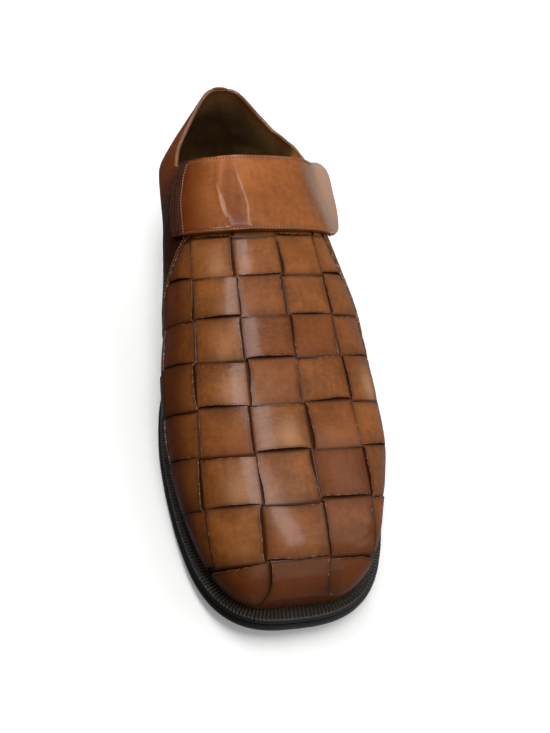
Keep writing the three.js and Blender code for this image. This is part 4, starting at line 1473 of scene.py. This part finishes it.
def sewn(name, node, rows, thread):
    """Stitches and their holes along rows, each a path on the leather's face and the normals there; the holes
    are
    dark beads: painted shade in the hollows.
    """
    for label, form, first, material in (
        ("stitches", pressed_bead(STITCH), 1.0, thread),
        ("holes", pressed_bead(HOLE), 0.5, dark_thread_and_hole_shade),
    ):
        steps = [even_steps(path, normal, first) for path, normal in rows]
        places, axes = (np.concatenate(parts) for parts in zip(*steps))
        piece = repeated(f"{name}_{label}", form, places, axes)
        finished(piece, node, material, angle=60)


def sheet_line(face, normal, row, column_at):
    """A line over a sheet through these places, counted in its rows and columns."""
    i = np.clip(row.astype(int), 0, face.shape[0] - 2)
    j = np.clip(column_at.astype(int), 0, face.shape[1] - 2)
    u, v = (row - i)[:, None], (column_at - j)[:, None]

    def between(grid):
        return mix(mix(grid[i, j], grid[i, j + 1], v), mix(grid[i + 1, j], grid[i + 1, j + 1], v), u)

    return between(face), between(normal)


def strap_line(from_back, from_ridge):
    """A line on the strap's face, by its distances from the strap's back edge and from the ridge."""
    from_back, from_ridge = np.broadcast_arrays(from_back, from_ridge)
    row = np.interp(-from_back / STRAP_WIDTH, -STRAP_OVER[:, 0], np.arange(STRAP_ROWS))
    column_at = np.empty(len(row))
    for k, around in enumerate(STRAP_AROUND[row.astype(int)]):
        held = around[: np.argmax(around) + 1]
        column_at[k] = np.interp(from_ridge[k], held, np.arange(len(held)))
    return sheet_line(STRAP_FACE, STRAP_NORMAL, row, column_at)


def strap_rows():
    """Rows of stitches along the strap's two edges."""
    reach = np.linspace(STRAP_ROW.start, STRAP_ROW.end, STRAP_ROW.steps)
    return [strap_line(margin, reach) for margin in (CHANNEL.margin, STRAP_WIDTH - CHANNEL.margin)]


def root_row(from_ridge):
    """A row of stitches down the strap's root."""
    margin = ROOT_ROW.margin
    return strap_line(np.linspace(margin, STRAP_WIDTH - margin, ROOT_ROW.steps), from_ridge)


def quarter_row(side):
    """A row of stitches behind the front edge of a quarter."""
    face = QUARTERS[side]
    inward = unit(face[:, -2] - face[:, -1])
    return face[:, -1] + inward * QUARTER_STITCH_MARGIN, face_normals(face)[:, -1] * side


def stay_row(edge):
    """A row of stitches along one long edge of the back strip, from its foot to the collar."""
    return STAY_POINTS[:-1, edge], STAY_NORMAL[:-1, edge]


root_rows = [root_row(cord + ROOT_ROW.after_cord) for cord in CORDS.at]
sewn("strap", "strap", strap_rows(), thread_tan)
sewn("strap_root", "strap", root_rows, dark_thread_and_hole_shade)
sewn("strap_seam", "strap", [root_row(ROOT_ROW.seam)], thread_linen)
sewn("quarter_inner", "upper", [quarter_row(MEDIAL)], thread_linen)
sewn("quarter_outer", "upper", [quarter_row(LATERAL)], dark_thread_and_hole_shade)
sewn("backstay", "backstay", [stay_row(edge) for edge in STAY_ROWS], thread_linen)


# Camera, light and floor

PHOTO = Sizes(width=550, height=733, focal=900.0)
CAMERA_PLACE = np.array([-70.8, -326.6, 365.6])
CAMERA_LOOK = np.array([0.053, 0.705, -0.707])
SENSOR_WIDTH = 36
SHOE_PIXEL = (390, 395)
FLOOR_SIZE = 6
# Soft lights in metres: name, place, what they aim at, size, power and spread in degrees
LIGHTS = (
    ("overhead", (-0.02, 0.05, 1.1), (0, 0, 0), (0.26, 1.2), 9, 180),
    ("outer_side", (1.0, -0.2, 0.9), (0, 0, 0.03), (0.9, 1.2), 5, 180),
    ("front", (0.1, -1.1, 0.9), (0, 0, 0.03), (1.2, 0.8), 3.2, 180),
    ("back", (0.1, 1.1, 1.0), (0, 0, 0.03), (1.4, 0.6), 3, 180),
    ("collar", (-0.35, 0.0, 0.65), (0.025, 0.106, 0.06), (0.14, 0.14), 0.042, 14),
)
# The room's light grows over a span of directions, from the inner side outwards
ROOM_SPAN = (-0.7, 0.3)
ROOM_LIGHT = (0.05, 0.3)


def camera():
    """Stands where the photograph was taken and turns to the shoe, without rolling the picture."""
    look = Vector(CAMERA_LOOK).normalized()
    right = look.cross(Vector((0, 0, 1))).normalized()
    up = right.cross(look)
    aside = (SHOE_PIXEL[0] - PHOTO.width / 2) / PHOTO.focal
    below = (SHOE_PIXEL[1] - PHOTO.height / 2) / PHOTO.focal
    aim = (look + right * aside - up * below).normalized()
    right = (right - aim * right.dot(aim)).normalized()
    turned = Matrix((right, right.cross(aim), -aim)).transposed().to_4x4()
    bpy.ops.object.camera_add(location=to_frame(CAMERA_PLACE))
    made = bpy.context.object
    made.rotation_euler = turned.to_euler()
    made.data.sensor_width = SENSOR_WIDTH
    made.data.lens = PHOTO.focal * SENSOR_WIDTH / PHOTO.height
    made.data.clip_start = 10 * MM
    bpy.context.scene.camera = made


def soft_light(name, place, aim, size, power, spread_angle):
    bpy.ops.object.light_add(type="AREA", location=place)
    made = bpy.context.object
    made.name = name
    made.rotation_euler = (Vector(aim) - Vector(place)).to_track_quat("-Z", "Y").to_euler()
    made.data.shape = "RECTANGLE"
    made.data.size, made.data.size_y = size
    made.data.energy = power
    made.data.spread = math.radians(spread_angle)


def white_paper():
    """Bright matt paper that shows the shoe's soft shadow and no colour of its own."""
    white = colour("#f7f7f6")
    material, _, _ = new_material(
        "white_paper", base_color=white, roughness=0.9, emission_color=white, emission_strength=0.15
    )
    return material


def studio():
    """A paper floor, soft lights and a white room that is darker towards the inner side."""
    bpy.ops.mesh.primitive_plane_add(size=FLOOR_SIZE)
    floor = bpy.context.object
    floor.name = "floor"
    floor.data.materials.append(white_paper())
    floor.visible_diffuse = False
    floor.visible_glossy = False
    for light in LIGHTS:
        soft_light(*light)
    world = bpy.data.worlds.new("white_studio")
    world.use_nodes = True
    tree = world.node_tree
    direction = add_node(tree, "SeparateXYZ", {0: add_node(tree, "TexCoord").outputs["Generated"]})
    light = spread(tree, direction.outputs[0], ROOM_SPAN, ROOM_LIGHT, "SMOOTHSTEP")
    background = tree.nodes["Background"]
    background.inputs["Color"].default_value = colour("#ffffff")
    tree.links.new(light, background.inputs["Strength"])
    bpy.context.scene.world = world
    bpy.context.scene.view_settings.view_transform = "Standard"


camera()
studio()
